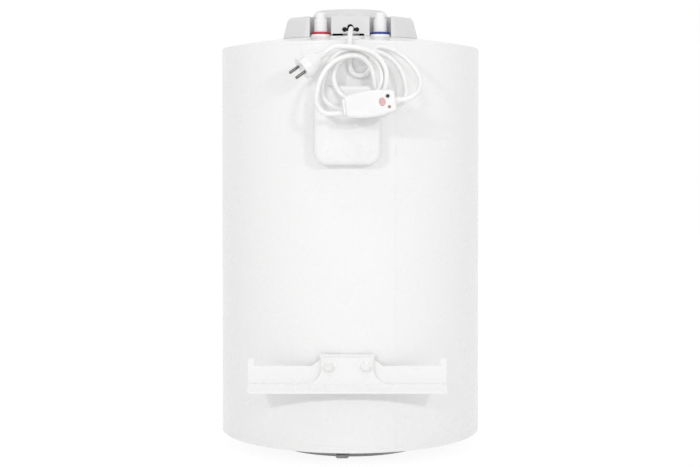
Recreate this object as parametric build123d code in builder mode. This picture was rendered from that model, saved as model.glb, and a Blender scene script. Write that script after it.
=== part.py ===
from build123d import *

import math
import os

os.makedirs("parts", exist_ok=True)

# Storage water heater for a wall, about 80 litres. It is modelled as it stands here: on its closed end,
# with the water pipes and the electric cover up. +Z is up, -Y is the side that faces the wall, and the
# origin is the middle of the face it stands on. All sizes are in millimetres.

# Fits
fit_gap = 0.2
running_gap = 0.05
clear_gap = 0.3

# Casing: a rolled sheet steel tube between two end caps
casing_radius = 225.0
casing_wall = 1.0
rim_low = 26.0
rim_high = 690.0
seam_angle = 18.9
seam_width = 1.6
seam_depth = 0.4

# End caps
cap_wall = 2.0
cap_skirt = 12.0
closed_flat_radius = casing_radius - 85.0
closed_flat_height = 9.0
dome_rise = 23.0
cap_opening_radius = 66.0
rear_centre_x = -5.0
recess_half_width = 28.0
recess_front = casing_radius - 18.0
recess_back = 131.5
recess_floor = rim_high + 3.0
vent_x = -67.0
vent_y = 29.0 - casing_radius
vent_width = 9.0
vent_length = 18.0

# Round disc it stands on
disc_radius = 130.0
disc_edge = 2.0
disc_groove_radius = 98.0
disc_groove_width = 4.0
disc_groove_depth = 1.5
disc_tab_x = -13.5
disc_tab_width = 22.0
disc_tab_reach = 143.0
disc_tab_thickness = 5.0
disc_tab_corner = 3.5

# Tank
foam_thickness = 25.0
tank_radius = casing_radius - foam_thickness
tank_wall = 1.8
tank_foot = rim_low + 12.0
tank_head = rim_high - 14.0
dish_depth = 38.0
knuckle_radius = 25.0
neck_bore = 44.0
neck_radius = 63.0
neck_foot = tank_head - 12.0
flange_seat = rim_high + 22.0
socket_radius = 15.0
socket_foot = tank_head - 24.0
socket_top = tank_head + 12.0
foam_dome_gap = 4.0

# Water pipes
pipe_spacing = 100.0
pipe_y = -113.0
pipe_radius = 10.475
pipe_shank_radius = 10.3
pipe_bore = 7.5
collar_radius = 18.0
collar_top = rim_high + 18.0
pipe_foot = socket_foot + 6.0
pipe_top = collar_top + 26.0
ring_radius = 16.5
ring_thickness = 4.0
inner_pipe_radius = 7.2
inner_pipe_wall = 0.8
inner_pipe_drop = 34.0
inner_pipe_top = pipe_top - inner_pipe_drop
standpipe_foot = tank_foot + 22.0
diffuser_foot = socket_foot - 20.0
diffuser_slots = 6
transport_head_radius = 8.8
transport_head_height = 11.0
transport_stem_length = 16.0
transport_clearance = 0.1

# Heater flange and what it carries
gasket_thickness = 3.0
flange_radius = 62.0
flange_thickness = 5.0
flange_bolt_circle = 54.0
flange_bolt_count = 6
flange_bolt_turn = 30.0
flange_bolt_radius = 4.0
flange_bolt_length = 24.0
flange_bolt_flats = 13.0
flange_bolt_head = 5.3
element_radius = 4.2
element_leg = 13.0
element_y = 30.0
element_length = 282.0
element_foot = flange_seat - element_length
element_terminal_radius = 2.0
element_terminal_top = flange_seat + 21.0
anode_x = -31.0
anode_radius = 10.0
anode_length = 332.0
anode_foot = flange_seat - anode_length
anode_stud_radius = 4.0
anode_nut_flats = 13.0
anode_nut_height = 6.5
pocket_x = 8.0
pocket_radius = 5.0
pocket_bore = 3.6
pocket_length = 242.0
pocket_foot = flange_seat - pocket_length
probe_radius = 3.0
probe_length = 230.0

# Thermostat, cut-out and terminals
thermostat_width = 36.0
thermostat_depth = 32.0
thermostat_height = 16.0
spindle_radius = 3.0
spindle_foot = flange_seat + 16.0
cutout_x = 34.0
cutout_width = 15.0
cutout_depth = 24.0
cutout_height = 12.0
cutout_button_radius = 3.0
cutout_button_height = 6.0
cutout_button_travel = 2.0
terminal_y = 88.0
terminal_width = 42.0
terminal_depth = 20.0
terminal_height = 16.0
terminal_ways = 3
terminal_pad_top = rim_high + 23.0
wire_radius = 1.4

# Electric cover
cover_wall = 2.5
cover_base = rim_high + 8.0
cover_half_width = 116.0
cover_back = pipe_y - 18.5
cover_flat_half_width = 76.0
cover_side_rear = -90.0
cover_side_front = 35.0
cover_front = 125.0
cover_corner = 16.0
cover_draft = 14.0
cover_height = 41.0
cover_shoulder = cover_base + cover_height
cover_bevel = 6.0
cover_bevel_draft = 37.0
turret_radius = 68.0
turret_wall_top = cover_shoulder + 9.5
turret_lean = 1.0
turret_rim_radius = 61.0
turret_top = cover_shoulder + 18.0
well_radius = 27.0
well_floor = cover_shoulder + 4.0
notch_radius = 18.0
cutout_top = cover_base + 11.0
cord_exit_x = 1.5
cord_exit_z = cover_base + 19.0
mark_width = 2.5
mark_depth = 4.0
cover_screw_x = 92.0
cover_screw_y = 10.0
cover_screw_radius = 2.0
cover_screw_head_radius = 4.0
cover_screw_length = 20.0
post_radius = 5.5

# Knob and pilot lamp
knob_radius = 23.0
knob_top = turret_top - 0.8
knob_grips = 18
knob_grip_radius = 1.6
pointer_width = 2.4
lamp_x = 45.0
lamp_y = 78.0
lamp_radius = 5.0
lamp_rise = 1.6
neon_radius = 3.4
neon_length = 14.0

# Thermometer in the front of the casing
gauge_z = rim_high - 90.0
gauge_radius = 24.0
gauge_depth = 12.0
gauge_face = casing_radius + 3.0
bezel_radius = 29.0
bezel_rise = 4.5
lens_radius = 25.0
lens_thickness = 1.5
dial_thickness = 1.0
dial_mark_count = 9
needle_length = 18.0
needle_width = 2.2
needle_thickness = 0.8
needle_pin_radius = 1.0
bulb_radius = 4.0

# Wall bracket: a pressed plate with a raised foot and a strip that slopes out to its lip
plate_thickness = 2.5
wing_face = casing_radius + 4.5
foot_face = casing_radius + 13.0
lip_face = casing_radius + 30.0
bracket_half_width = 159.0
lip_low = 127.5
lip_high = lip_low + 3.0
crease_height = lip_low + 12.0
wing_top = lip_low + 40.5
ear_top = lip_low + 52.5
ear_width = 9.5
shoulder_top = lip_low + 50.5
foot_top = lip_low + 55.0
plate_top = lip_low + 59.0
swage_corner = 27.0
bolt_z = lip_low + 41.0
bolt_half_spacing = 30.0
bolt_radius = 4.0
bolt_length = 22.0
bolt_flats = 13.0
bolt_head = 5.3
washer_radius = 8.0
washer_thickness = 1.6
anchor_radius = 9.0
bracket_foot_half_width = bolt_half_spacing + anchor_radius + plate_thickness
shoulder_half_width = bracket_foot_half_width + 15.5

# Wall spacer
spacer_drop = 136.5
spacer_z = rim_high - spacer_drop
spacer_half_width = 55.7
spacer_half_height = 65.7
spacer_corner = 24.0
spacer_face = casing_radius + 24.0
spacer_round = 9.0
spacer_draft = 2.0
spacer_wall = 2.5
spacer_screw_half_spacing = 13.5
spacer_screw_radius = 2.0
spacer_screw_head_radius = 4.0
spacer_screw_length = 38.0
spacer_pillar_radius = 5.5

# Cord, its in-line safety switch and its plug
cord_radius = 4.0
clamp_back = pipe_y + 5.0
clamp_front = pipe_y + 19.0
clamp_half_width = 14.0
clamp_half_height = 6.0
clamp_screw_x = 10.0
clamp_screw_radius = 1.6
clamp_screw_head_radius = 3.0
board_length = 56.0
board_width = 24.0
board_thickness = 1.6
board_height = 8.0
relay_length = 18.0
relay_width = 15.0
relay_height = 9.0
switch_x = 31.1
switch_z = rim_high - 104.5
switch_back = casing_radius + 48.0
switch_depth = 30.0
switch_split = 14.0
switch_tilt = 7.6
switch_half_length = 39.3
switch_end_half_height = 15.5
switch_mid_half_height = 20.8
switch_wall = 2.0
switch_round = 4.0
switch_corner = 5.0
collar_length = 3.7
collar_half_height = 13.5
collar_half_depth = 12.0
sleeve_length = 8.0
sleeve_root_radius = 6.8
sleeve_draft = 12.0
left_lead_drop = 8.0
test_button_x = 18.5
test_button_y = 0.5
test_button_length = 12.0
test_button_width = 9.0
reset_button_x = 28.0
reset_button_y = 8.3
reset_button_radius = 2.6
status_lens_x = 28.5
status_lens_y = -8.5
status_lens_radius = 2.4
button_rise = 1.6
button_depth = 8.0
plug_face = Vector(-75.8, -casing_radius - 46.5, rim_high - 48.8)
plug_axis = Vector(-0.78, -0.24, -0.578).normalized()
plug_pin_lean = Vector(0.51, -0.7, -0.49)
plug_radius = 18.8
plug_front_length = 12.0
plug_body_length = 32.0
plug_back_draft = 24.0
plug_relief_radius = 8.5
plug_relief_length = 14.0
plug_relief_draft = 12.0
pin_radius = 2.4
pin_length = 19.0
pin_spacing = 19.0
pin_tip_round = 2.0
pin_root = 8.0
pin_root_radius = 2.0
earth_width = 4.0
earth_depth = 1.0
earth_length = 10.0


def ring_points(count, radius, start=0.0):
    """Points evenly spaced on a circle about the origin."""
    step = 360.0 / count
    return [
        (radius * math.cos(angle), radius * math.sin(angle))
        for angle in (math.radians(start + i * step) for i in range(count))
    ]


def dish_height(radius, edge_radius, depth):
    """How far a shallow round dish of this edge radius and depth has dropped at a radius."""
    sphere = (edge_radius**2 + depth**2) / (2 * depth)
    return sphere - math.sqrt(sphere**2 - radius**2)


def dome_z(radius):
    """Height of the outer face of the domed end cap at a radius."""
    return rim_high + dome_rise - dish_height(radius, casing_radius, dome_rise)


# A solid up to the outer face of the domed cap, used to fit other pieces to it
with BuildPart() as dome_form:
    with BuildSketch(Plane.XZ):
        with BuildLine():
            Line((0, 0), (casing_radius, 0))
            Line((casing_radius, 0), (casing_radius, rim_high))
            ThreePointArc(
                (casing_radius, rim_high),
                (casing_radius / 2, dome_z(casing_radius / 2)),
                (0, rim_high + dome_rise),
            )
            Line((0, rim_high + dome_rise), (0, 0))
        make_face()
    revolve(axis=Axis.Z)

# Places that several pieces share
hot_pipe = (-pipe_spacing / 2, pipe_y)
cold_pipe = (pipe_spacing / 2, pipe_y)
bolt_places = [(rear_centre_x - bolt_half_spacing, bolt_z), (rear_centre_x + bolt_half_spacing, bolt_z)]
spacer_screw_places = [
    (rear_centre_x - spacer_screw_half_spacing, spacer_z),
    (rear_centre_x + spacer_screw_half_spacing, spacer_z),
]
cover_screw_places = [(-cover_screw_x, cover_screw_y), (cover_screw_x, cover_screw_y)]
front_plane = Plane(origin=(0, 0, 0), x_dir=(-1, 0, 0), z_dir=(0, 1, 0))
casing_inside = casing_radius - casing_wall
skirt_radius = casing_inside - fit_gap

# Outer casing, with its long seam and the holes for the anchors, screws and thermometer
with BuildPart() as outer_casing:
    with BuildSketch(Plane.XY.offset(rim_low + cap_wall)):
        Circle(casing_radius)
        Circle(casing_inside, mode=Mode.SUBTRACT)
    extrude(amount=rim_high - rim_low - 2 * cap_wall)
    seam_turn = math.radians(seam_angle)
    seam_place = Location(
        (
            casing_radius * math.sin(seam_turn),
            -casing_radius * math.cos(seam_turn),
            (rim_low + rim_high) / 2,
        ),
        (0, 0, seam_angle),
    )
    with Locations(seam_place):
        Box(seam_width, 2 * seam_depth, rim_high, mode=Mode.SUBTRACT)
    with BuildSketch(Plane.XZ.offset(casing_radius)):
        with Locations(*bolt_places):
            Circle(anchor_radius + fit_gap)
        with Locations(*spacer_screw_places):
            Circle(spacer_screw_radius + fit_gap)
    extrude(amount=casing_radius / 2, both=True, mode=Mode.SUBTRACT)
    with BuildSketch(front_plane.offset(casing_radius)):
        with Locations((0, gauge_z)):
            Circle(gauge_radius + fit_gap)
    extrude(amount=casing_radius / 2, both=True, mode=Mode.SUBTRACT)
outer_casing.part.label = "outer_casing"
export_step(outer_casing.part, "parts/outer_casing.step")

# Closed end cap: a shallow cone with a flat middle, and a skirt inside the casing
with BuildPart() as closed_end_cap:
    with BuildSketch(Plane.XZ):
        with BuildLine():
            cone_rise = (rim_low - closed_flat_height) / (casing_radius - closed_flat_radius)
            skirt_inside = skirt_radius - cap_wall
            skirt_cone_z = closed_flat_height + cap_wall + cone_rise * (skirt_inside - closed_flat_radius)
            Polyline(
                (0, closed_flat_height),
                (closed_flat_radius, closed_flat_height),
                (casing_radius, rim_low),
                (casing_radius, rim_low + cap_wall),
                (skirt_radius, rim_low + cap_wall),
                (skirt_radius, rim_low + cap_wall + cap_skirt),
                (skirt_inside, rim_low + cap_wall + cap_skirt),
                (skirt_inside, skirt_cone_z),
                (closed_flat_radius, closed_flat_height + cap_wall),
                (0, closed_flat_height + cap_wall),
                close=True,
            )
        make_face()
    revolve(axis=Axis.Z)
closed_end_cap.part.label = "closed_end_cap"
export_step(closed_end_cap.part, "parts/closed_end_cap.step")

# Round disc under the closed end, with a small tab at the rear
with BuildPart() as end_disc:
    with BuildSketch():
        Circle(disc_radius)
    extrude(amount=closed_flat_height)
    fillet(end_disc.edges().group_by(Axis.Z)[0], radius=disc_edge)
    with BuildSketch(Plane.XZ.offset(disc_groove_radius)) as tab_section:
        with Locations((disc_tab_x, disc_tab_thickness / 2)):
            Rectangle(disc_tab_width, disc_tab_thickness)
        fillet(tab_section.vertices().group_by(Axis.Y)[0], radius=disc_tab_corner)
    extrude(amount=disc_tab_reach - disc_groove_radius)
    with BuildSketch():
        Circle(disc_groove_radius)
        Circle(disc_groove_radius - disc_groove_width, mode=Mode.SUBTRACT)
    extrude(amount=disc_groove_depth, mode=Mode.SUBTRACT)
end_disc.part.label = "end_disc"
export_step(end_disc.part, "parts/end_disc.step")

# Domed end cap on the connection side
skirt_inside = skirt_radius - cap_wall
recess_width = 2 * recess_half_width
recess_length = recess_front - recess_back
with BuildPart() as connection_end_cap:
    with BuildSketch(Plane.XZ):
        with BuildLine():
            dome_middle = (cap_opening_radius + casing_radius) / 2
            under_middle = (cap_opening_radius + skirt_inside) / 2
            ThreePointArc(
                (cap_opening_radius, dome_z(cap_opening_radius)),
                (dome_middle, dome_z(dome_middle)),
                (casing_radius, rim_high),
            )
            Polyline(
                (casing_radius, rim_high),
                (casing_radius, rim_high - cap_wall),
                (skirt_radius, rim_high - cap_wall),
                (skirt_radius, rim_high - cap_wall - cap_skirt),
                (skirt_inside, rim_high - cap_wall - cap_skirt),
                (skirt_inside, dome_z(skirt_inside) - cap_wall),
            )
            ThreePointArc(
                (skirt_inside, dome_z(skirt_inside) - cap_wall),
                (under_middle, dome_z(under_middle) - cap_wall),
                (cap_opening_radius, dome_z(cap_opening_radius) - cap_wall),
            )
            Line(
                (cap_opening_radius, dome_z(cap_opening_radius) - cap_wall),
                (cap_opening_radius, dome_z(cap_opening_radius)),
            )
        make_face()
    revolve(axis=Axis.Z)
    # Recess at the rear, in front of the cord's way out
    with BuildPart(mode=Mode.PRIVATE) as recess_tray:
        with BuildSketch(Plane.XY.offset(recess_floor - cap_wall)):
            with Locations((rear_centre_x, -(recess_front + recess_back) / 2)):
                Rectangle(recess_width + 2 * cap_wall, recess_length + 2 * cap_wall)
        extrude(amount=rim_high + dome_rise - recess_floor + cap_wall)
        add(dome_form.part, mode=Mode.INTERSECT)
    add(recess_tray.part)
    with BuildSketch(Plane.XY.offset(recess_floor)):
        with Locations((rear_centre_x, -(recess_front + recess_back) / 2)):
            Rectangle(recess_width, recess_length)
    extrude(amount=dome_rise + cap_wall, mode=Mode.SUBTRACT)
    # Collars round the pipes, screw posts for the cover, and pads for the terminals and the cord clamp
    collar_foot = dome_z(math.hypot(*hot_pipe)) - cap_wall
    with BuildSketch(Plane.XY.offset(collar_foot)):
        with Locations(hot_pipe, cold_pipe):
            Circle(collar_radius)
    extrude(amount=collar_top - collar_foot)
    post_foot = dome_z(math.hypot(cover_screw_x, cover_screw_y)) - cap_wall / 2
    post_top = cover_shoulder - cover_wall - clear_gap
    with BuildSketch(Plane.XY.offset(post_foot)):
        with Locations(*cover_screw_places):
            Circle(post_radius)
    extrude(amount=post_top - post_foot)
    pad_foot = dome_z(terminal_y) - cap_wall
    with BuildSketch(Plane.XY.offset(pad_foot)):
        with Locations((0, terminal_y)):
            Rectangle(terminal_width, terminal_depth)
    extrude(amount=terminal_pad_top - pad_foot)
    clamp_foot = cord_exit_z - clamp_half_height
    with BuildSketch(Plane.XY.offset(pad_foot)):
        with Locations((cord_exit_x, (clamp_front + clamp_back) / 2)):
            Rectangle(2 * clamp_half_width, clamp_front - clamp_back)
    extrude(amount=clamp_foot - pad_foot)
    with BuildSketch(Plane.XY.offset(recess_floor - cap_wall)):
        with Locations(hot_pipe, cold_pipe):
            Circle(pipe_radius + clear_gap)
    extrude(amount=2 * dome_rise, mode=Mode.SUBTRACT)
    with BuildSketch(Plane.XY.offset(collar_top)):
        with Locations(hot_pipe, cold_pipe):
            Circle(ring_radius + fit_gap)
    extrude(amount=dome_rise, mode=Mode.SUBTRACT)
    with BuildSketch(Plane.XY.offset(post_top - cover_screw_length)):
        with Locations(*cover_screw_places):
            Circle(cover_screw_radius + fit_gap / 2)
    extrude(amount=cover_screw_length, mode=Mode.SUBTRACT)
    with BuildSketch(Plane.XY.offset(rim_high - cap_wall)):
        with Locations((vent_x, vent_y)):
            SlotOverall(vent_length, vent_width, rotation=90)
    extrude(amount=dome_rise, mode=Mode.SUBTRACT)
connection_end_cap.part.label = "connection_end_cap"
export_step(connection_end_cap.part, "parts/connection_end_cap.step")


def tank_outline(growth):
    """Half section of the tank's dished shape, grown outwards by a distance."""
    radius = tank_radius + growth
    low = tank_foot - growth
    high = tank_head + growth
    sag = dish_height(radius / 2, radius, dish_depth)
    with BuildSketch(Plane.XZ) as outline:
        with BuildLine():
            ThreePointArc((0, low), (radius / 2, low + sag), (radius, low + dish_depth))
            Line((radius, low + dish_depth), (radius, high - dish_depth))
            ThreePointArc((radius, high - dish_depth), (radius / 2, high - sag), (0, high))
            Line((0, high), (0, low))
        make_face()
        fillet(outline.vertices().group_by(Axis.X)[-1], radius=knuckle_radius + growth)
    return outline.sketch


# Enamelled tank, with the neck for the heater flange and two pipe sockets
with BuildPart() as inner_tank:
    revolve(tank_outline(0), axis=Axis.Z)
    with BuildSketch(Plane.XY.offset(neck_foot)):
        Circle(neck_radius)
    extrude(amount=flange_seat - neck_foot)
    with BuildSketch(Plane.XY.offset(socket_top)):
        with Locations(hot_pipe, cold_pipe):
            Circle(socket_radius)
    extrude(amount=socket_foot - socket_top)
    revolve(tank_outline(-tank_wall), axis=Axis.Z, mode=Mode.SUBTRACT)
    with BuildSketch(Plane.XY.offset(neck_foot)):
        Circle(neck_bore)
    extrude(amount=flange_seat - neck_foot, mode=Mode.SUBTRACT)
    with BuildSketch(Plane.XY.offset(socket_foot)):
        with Locations(hot_pipe, cold_pipe):
            Circle(pipe_radius + fit_gap / 2)
    extrude(amount=socket_top - socket_foot, mode=Mode.SUBTRACT)
    with BuildSketch(Plane.XY.offset(flange_seat)):
        with Locations(*ring_points(flange_bolt_count, flange_bolt_circle, flange_bolt_turn)):
            Circle(flange_bolt_radius + fit_gap / 2)
    extrude(amount=-flange_bolt_length, mode=Mode.SUBTRACT)
inner_tank.part.label = "inner_tank"
export_step(inner_tank.part, "parts/inner_tank.step")

# Foam between the tank and the casing
foam_radius = skirt_inside - fit_gap
foam_foot = closed_flat_height + cap_wall + fit_gap
with BuildPart() as insulation_foam:
    with BuildSketch(Plane.XZ):
        with BuildLine():
            Polyline(
                (0, foam_foot),
                (closed_flat_radius, foam_foot),
                (foam_radius, skirt_cone_z + fit_gap),
                (foam_radius, rim_high + dome_rise),
                (0, rim_high + dome_rise),
                close=True,
            )
        make_face()
    revolve(axis=Axis.Z)
    add(dome_form.part.moved(Location((0, 0, -cap_wall - foam_dome_gap))), mode=Mode.INTERSECT)
    revolve(tank_outline(fit_gap), axis=Axis.Z, mode=Mode.SUBTRACT)
    with BuildSketch(Plane.XY.offset(tank_head - dish_depth)):
        Circle(neck_radius + fit_gap)
        with Locations(hot_pipe, cold_pipe):
            Circle(socket_radius + fit_gap)
    extrude(amount=2 * dish_depth, mode=Mode.SUBTRACT)
    with BuildSketch(Plane.XY.offset(recess_floor - cap_wall - fit_gap)):
        with Locations((rear_centre_x, -(recess_front + recess_back) / 2)):
            Rectangle(recess_width + 3 * cap_wall, recess_length + 3 * cap_wall)
    extrude(amount=dome_rise, mode=Mode.SUBTRACT)
    with BuildSketch(Plane.XZ.offset(casing_radius)):
        with Locations(*bolt_places):
            Circle(anchor_radius + fit_gap)
    extrude(amount=tank_radius - casing_radius - dish_depth, mode=Mode.SUBTRACT)
    with BuildSketch(Plane.XZ.offset(casing_radius)):
        with Locations(*spacer_screw_places):
            Circle(spacer_screw_radius + fit_gap)
    extrude(amount=spacer_face - casing_radius - spacer_screw_length, mode=Mode.SUBTRACT)
    with BuildSketch(front_plane.offset(casing_radius)):
        with Locations((0, gauge_z)):
            Circle(gauge_radius + fit_gap)
    extrude(amount=gauge_face - casing_radius - gauge_depth - clear_gap, mode=Mode.SUBTRACT)
    with BuildSketch(front_plane.offset(casing_radius)):
        with Locations((0, gauge_z)):
            Circle(bulb_radius + fit_gap)
    extrude(amount=tank_radius - casing_radius - 1, mode=Mode.SUBTRACT)
insulation_foam.part.label = "insulation_foam"
export_step(insulation_foam.part, "parts/insulation_foam.step")


# Threaded pipes, hot on the left and cold on the right as seen from the wall side
with BuildPart() as hot_outlet_pipe:
    with BuildSketch(Plane.XY.offset(pipe_foot)):
        with Locations(hot_pipe):
            Circle(pipe_shank_radius)
    extrude(amount=collar_top + ring_thickness - pipe_foot)
    with BuildSketch(Plane.XY.offset(collar_top + ring_thickness)):
        with Locations(hot_pipe):
            Circle(pipe_radius)
    extrude(amount=pipe_top - collar_top - ring_thickness)
    with BuildSketch(Plane.XY.offset(pipe_foot)):
        with Locations(hot_pipe):
            Circle(pipe_bore)
    extrude(amount=pipe_top - pipe_foot, mode=Mode.SUBTRACT)
hot_outlet_pipe.part.label = "hot_outlet_pipe"
export_step(hot_outlet_pipe.part, "parts/hot_outlet_pipe.step")

with BuildPart() as cold_inlet_pipe:
    with BuildSketch(Plane.XY.offset(pipe_foot)):
        with Locations(cold_pipe):
            Circle(pipe_shank_radius)
    extrude(amount=collar_top + ring_thickness - pipe_foot)
    with BuildSketch(Plane.XY.offset(collar_top + ring_thickness)):
        with Locations(cold_pipe):
            Circle(pipe_radius)
    extrude(amount=pipe_top - collar_top - ring_thickness)
    with BuildSketch(Plane.XY.offset(pipe_foot)):
        with Locations(cold_pipe):
            Circle(pipe_bore)
    extrude(amount=pipe_top - pipe_foot, mode=Mode.SUBTRACT)
cold_inlet_pipe.part.label = "cold_inlet_pipe"
export_step(cold_inlet_pipe.part, "parts/cold_inlet_pipe.step")

# Tube that draws hot water from the far end of the tank
with BuildPart() as hot_standpipe:
    with BuildSketch(Plane.XY.offset(standpipe_foot)):
        with Locations(hot_pipe):
            Circle(inner_pipe_radius)
            Circle(inner_pipe_radius - inner_pipe_wall, mode=Mode.SUBTRACT)
    extrude(amount=inner_pipe_top - standpipe_foot)
hot_standpipe.part.label = "hot_standpipe"
export_step(hot_standpipe.part, "parts/hot_standpipe.step")

# Slotted cap that spreads the cold water as it comes in
with BuildPart() as cold_diffuser:
    with BuildSketch(Plane.XY.offset(diffuser_foot)):
        with Locations(cold_pipe):
            Circle(inner_pipe_radius)
    extrude(amount=inner_pipe_top - diffuser_foot)
    with BuildSketch(Plane.XY.offset(diffuser_foot + cap_wall)):
        with Locations(cold_pipe):
            Circle(inner_pipe_radius - inner_pipe_wall)
    extrude(amount=inner_pipe_top - diffuser_foot, mode=Mode.SUBTRACT)
    with Locations((cold_pipe[0], cold_pipe[1], diffuser_foot + 3 * cap_wall)):
        with PolarLocations(inner_pipe_radius, diffuser_slots):
            Box(inner_pipe_radius / 2, cap_wall, 2 * cap_wall, mode=Mode.SUBTRACT)
cold_diffuser.part.label = "cold_diffuser"
export_step(cold_diffuser.part, "parts/cold_diffuser.step")

# Colour rings on the pipe collars
with BuildPart() as red_ring:
    with BuildSketch(Plane.XY.offset(collar_top)):
        with Locations(hot_pipe):
            Circle(ring_radius)
            Circle(pipe_radius + fit_gap / 2, mode=Mode.SUBTRACT)
    extrude(amount=ring_thickness)
    fillet(red_ring.faces().sort_by(Axis.Z)[-1].outer_wire().edges(), radius=ring_thickness / 4)
red_ring.part.label = "red_ring"
export_step(red_ring.part, "parts/red_ring.step")

with BuildPart() as blue_ring:
    with BuildSketch(Plane.XY.offset(collar_top)):
        with Locations(cold_pipe):
            Circle(ring_radius)
            Circle(pipe_radius + fit_gap / 2, mode=Mode.SUBTRACT)
    extrude(amount=ring_thickness)
    fillet(blue_ring.faces().sort_by(Axis.Z)[-1].outer_wire().edges(), radius=ring_thickness / 4)
blue_ring.part.label = "blue_ring"
export_step(blue_ring.part, "parts/blue_ring.step")


def transport_plug(place):
    """Push-in plug that closes a pipe until it is connected."""
    with BuildPart() as plug:
        with BuildSketch(Plane.XY.offset(pipe_top)):
            with Locations(place):
                Circle(pipe_bore - transport_clearance)
        extrude(amount=-transport_stem_length)
        chamfer(plug.edges().group_by(Axis.Z)[0], length=1)
        with BuildSketch(Plane.XY.offset(pipe_top)):
            with Locations(place):
                Circle(transport_head_radius)
        extrude(amount=transport_head_height)
        fillet(plug.edges().group_by(Axis.Z)[-1], radius=1.2)
        with BuildSketch(Plane.XY.offset(pipe_top + transport_head_height)):
            with Locations(place):
                Circle(transport_head_radius / 2)
        extrude(amount=-transport_head_height / 2, mode=Mode.SUBTRACT)
    return plug.part


hot_transport_plug = transport_plug(hot_pipe)
hot_transport_plug.label = "hot_transport_plug"
export_step(hot_transport_plug, "parts/hot_transport_plug.step")
cold_transport_plug = transport_plug(cold_pipe)
cold_transport_plug.label = "cold_transport_plug"
export_step(cold_transport_plug, "parts/cold_transport_plug.step")

# Heater flange on its gasket
flange_foot = flange_seat + gasket_thickness
flange_top = flange_foot + flange_thickness
element_places = [
    (-element_leg, element_y),
    (element_leg, element_y),
    (-element_leg, -element_y),
    (element_leg, -element_y),
]
with BuildPart() as flange_gasket:
    with BuildSketch(Plane.XY.offset(flange_seat)):
        Circle(flange_radius)
        Circle(neck_bore, mode=Mode.SUBTRACT)
        with Locations(*ring_points(flange_bolt_count, flange_bolt_circle, flange_bolt_turn)):
            Circle(flange_bolt_radius + fit_gap, mode=Mode.SUBTRACT)
    extrude(amount=gasket_thickness)
flange_gasket.part.label = "flange_gasket"
export_step(flange_gasket.part, "parts/flange_gasket.step")

with BuildPart() as heater_flange:
    with BuildSketch(Plane.XY.offset(flange_foot)):
        Circle(flange_radius)
        with Locations(*ring_points(flange_bolt_count, flange_bolt_circle, flange_bolt_turn)):
            Circle(flange_bolt_radius + fit_gap, mode=Mode.SUBTRACT)
        with Locations(*element_places):
            Circle(element_radius + fit_gap / 2, mode=Mode.SUBTRACT)
        with Locations((anode_x, 0)):
            Circle(anode_stud_radius + fit_gap / 2, mode=Mode.SUBTRACT)
        with Locations((pocket_x, 0)):
            Circle(pocket_radius + fit_gap / 2, mode=Mode.SUBTRACT)
    extrude(amount=flange_thickness)
heater_flange.part.label = "heater_flange"
export_step(heater_flange.part, "parts/heater_flange.step")

with BuildPart() as flange_bolts:
    with BuildSketch(Plane.XY.offset(flange_top)):
        with Locations(*ring_points(flange_bolt_count, flange_bolt_circle, flange_bolt_turn)):
            RegularPolygon(flange_bolt_flats / 2, 6, major_radius=False)
    extrude(amount=flange_bolt_head)
    with BuildSketch(Plane.XY.offset(flange_top)):
        with Locations(*ring_points(flange_bolt_count, flange_bolt_circle, flange_bolt_turn)):
            Circle(flange_bolt_radius)
    extrude(amount=-flange_bolt_length)
flange_bolts.part.label = "flange_bolts"
export_step(flange_bolts.part, "parts/flange_bolts.step")

# Heating element: two tubes bent to a long U, with their cold ends above the flange
with BuildPart() as heating_element:
    for side in (-1, 1):
        y = side * element_y
        bend = element_foot + element_leg
        with BuildLine() as tube_path:
            Line((-element_leg, y, flange_top + 2), (-element_leg, y, bend))
            ThreePointArc((-element_leg, y, bend), (0, y, element_foot), (element_leg, y, bend))
            Line((element_leg, y, bend), (element_leg, y, flange_top + 2))
        with BuildSketch(Plane(origin=(-element_leg, y, flange_top + 2), z_dir=(0, 0, -1))):
            Circle(element_radius)
        sweep(path=tube_path.line)
    with BuildSketch(Plane.XY.offset(flange_top + 2)):
        with Locations(*element_places):
            Circle(element_terminal_radius)
    extrude(amount=element_terminal_top - flange_top - 2)
heating_element.part.label = "heating_element"
export_step(heating_element.part, "parts/heating_element.step")

# Magnesium anode and its nut
with BuildPart() as magnesium_anode:
    with BuildSketch(Plane.XY.offset(flange_foot - 1)):
        with Locations((anode_x, 0)):
            Circle(anode_radius)
    extrude(amount=anode_foot - flange_foot + 1)
    with BuildSketch(Plane.XY.offset(flange_foot - 1)):
        with Locations((anode_x, 0)):
            Circle(anode_stud_radius)
    extrude(amount=flange_thickness + 2 * anode_nut_height)
magnesium_anode.part.label = "magnesium_anode"
export_step(magnesium_anode.part, "parts/magnesium_anode.step")

with BuildPart() as anode_nut:
    with BuildSketch(Plane.XY.offset(flange_top)):
        with Locations((anode_x, 0)):
            RegularPolygon(anode_nut_flats / 2, 6, major_radius=False)
            Circle(anode_stud_radius + fit_gap / 2, mode=Mode.SUBTRACT)
    extrude(amount=anode_nut_height)
anode_nut.part.label = "anode_nut"
export_step(anode_nut.part, "parts/anode_nut.step")

# Pocket that keeps the thermostat's probe dry
with BuildPart() as probe_pocket:
    with BuildSketch(Plane.XY.offset(pocket_foot)):
        with Locations((pocket_x, 0)):
            Circle(pocket_radius)
    extrude(amount=flange_top - pocket_foot)
    with BuildSketch(Plane.XY.offset(flange_top)):
        with Locations((pocket_x, 0)):
            Circle(pocket_bore)
    extrude(amount=pocket_foot + 2 - flange_top, mode=Mode.SUBTRACT)
probe_pocket.part.label = "probe_pocket"
export_step(probe_pocket.part, "parts/probe_pocket.step")

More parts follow.
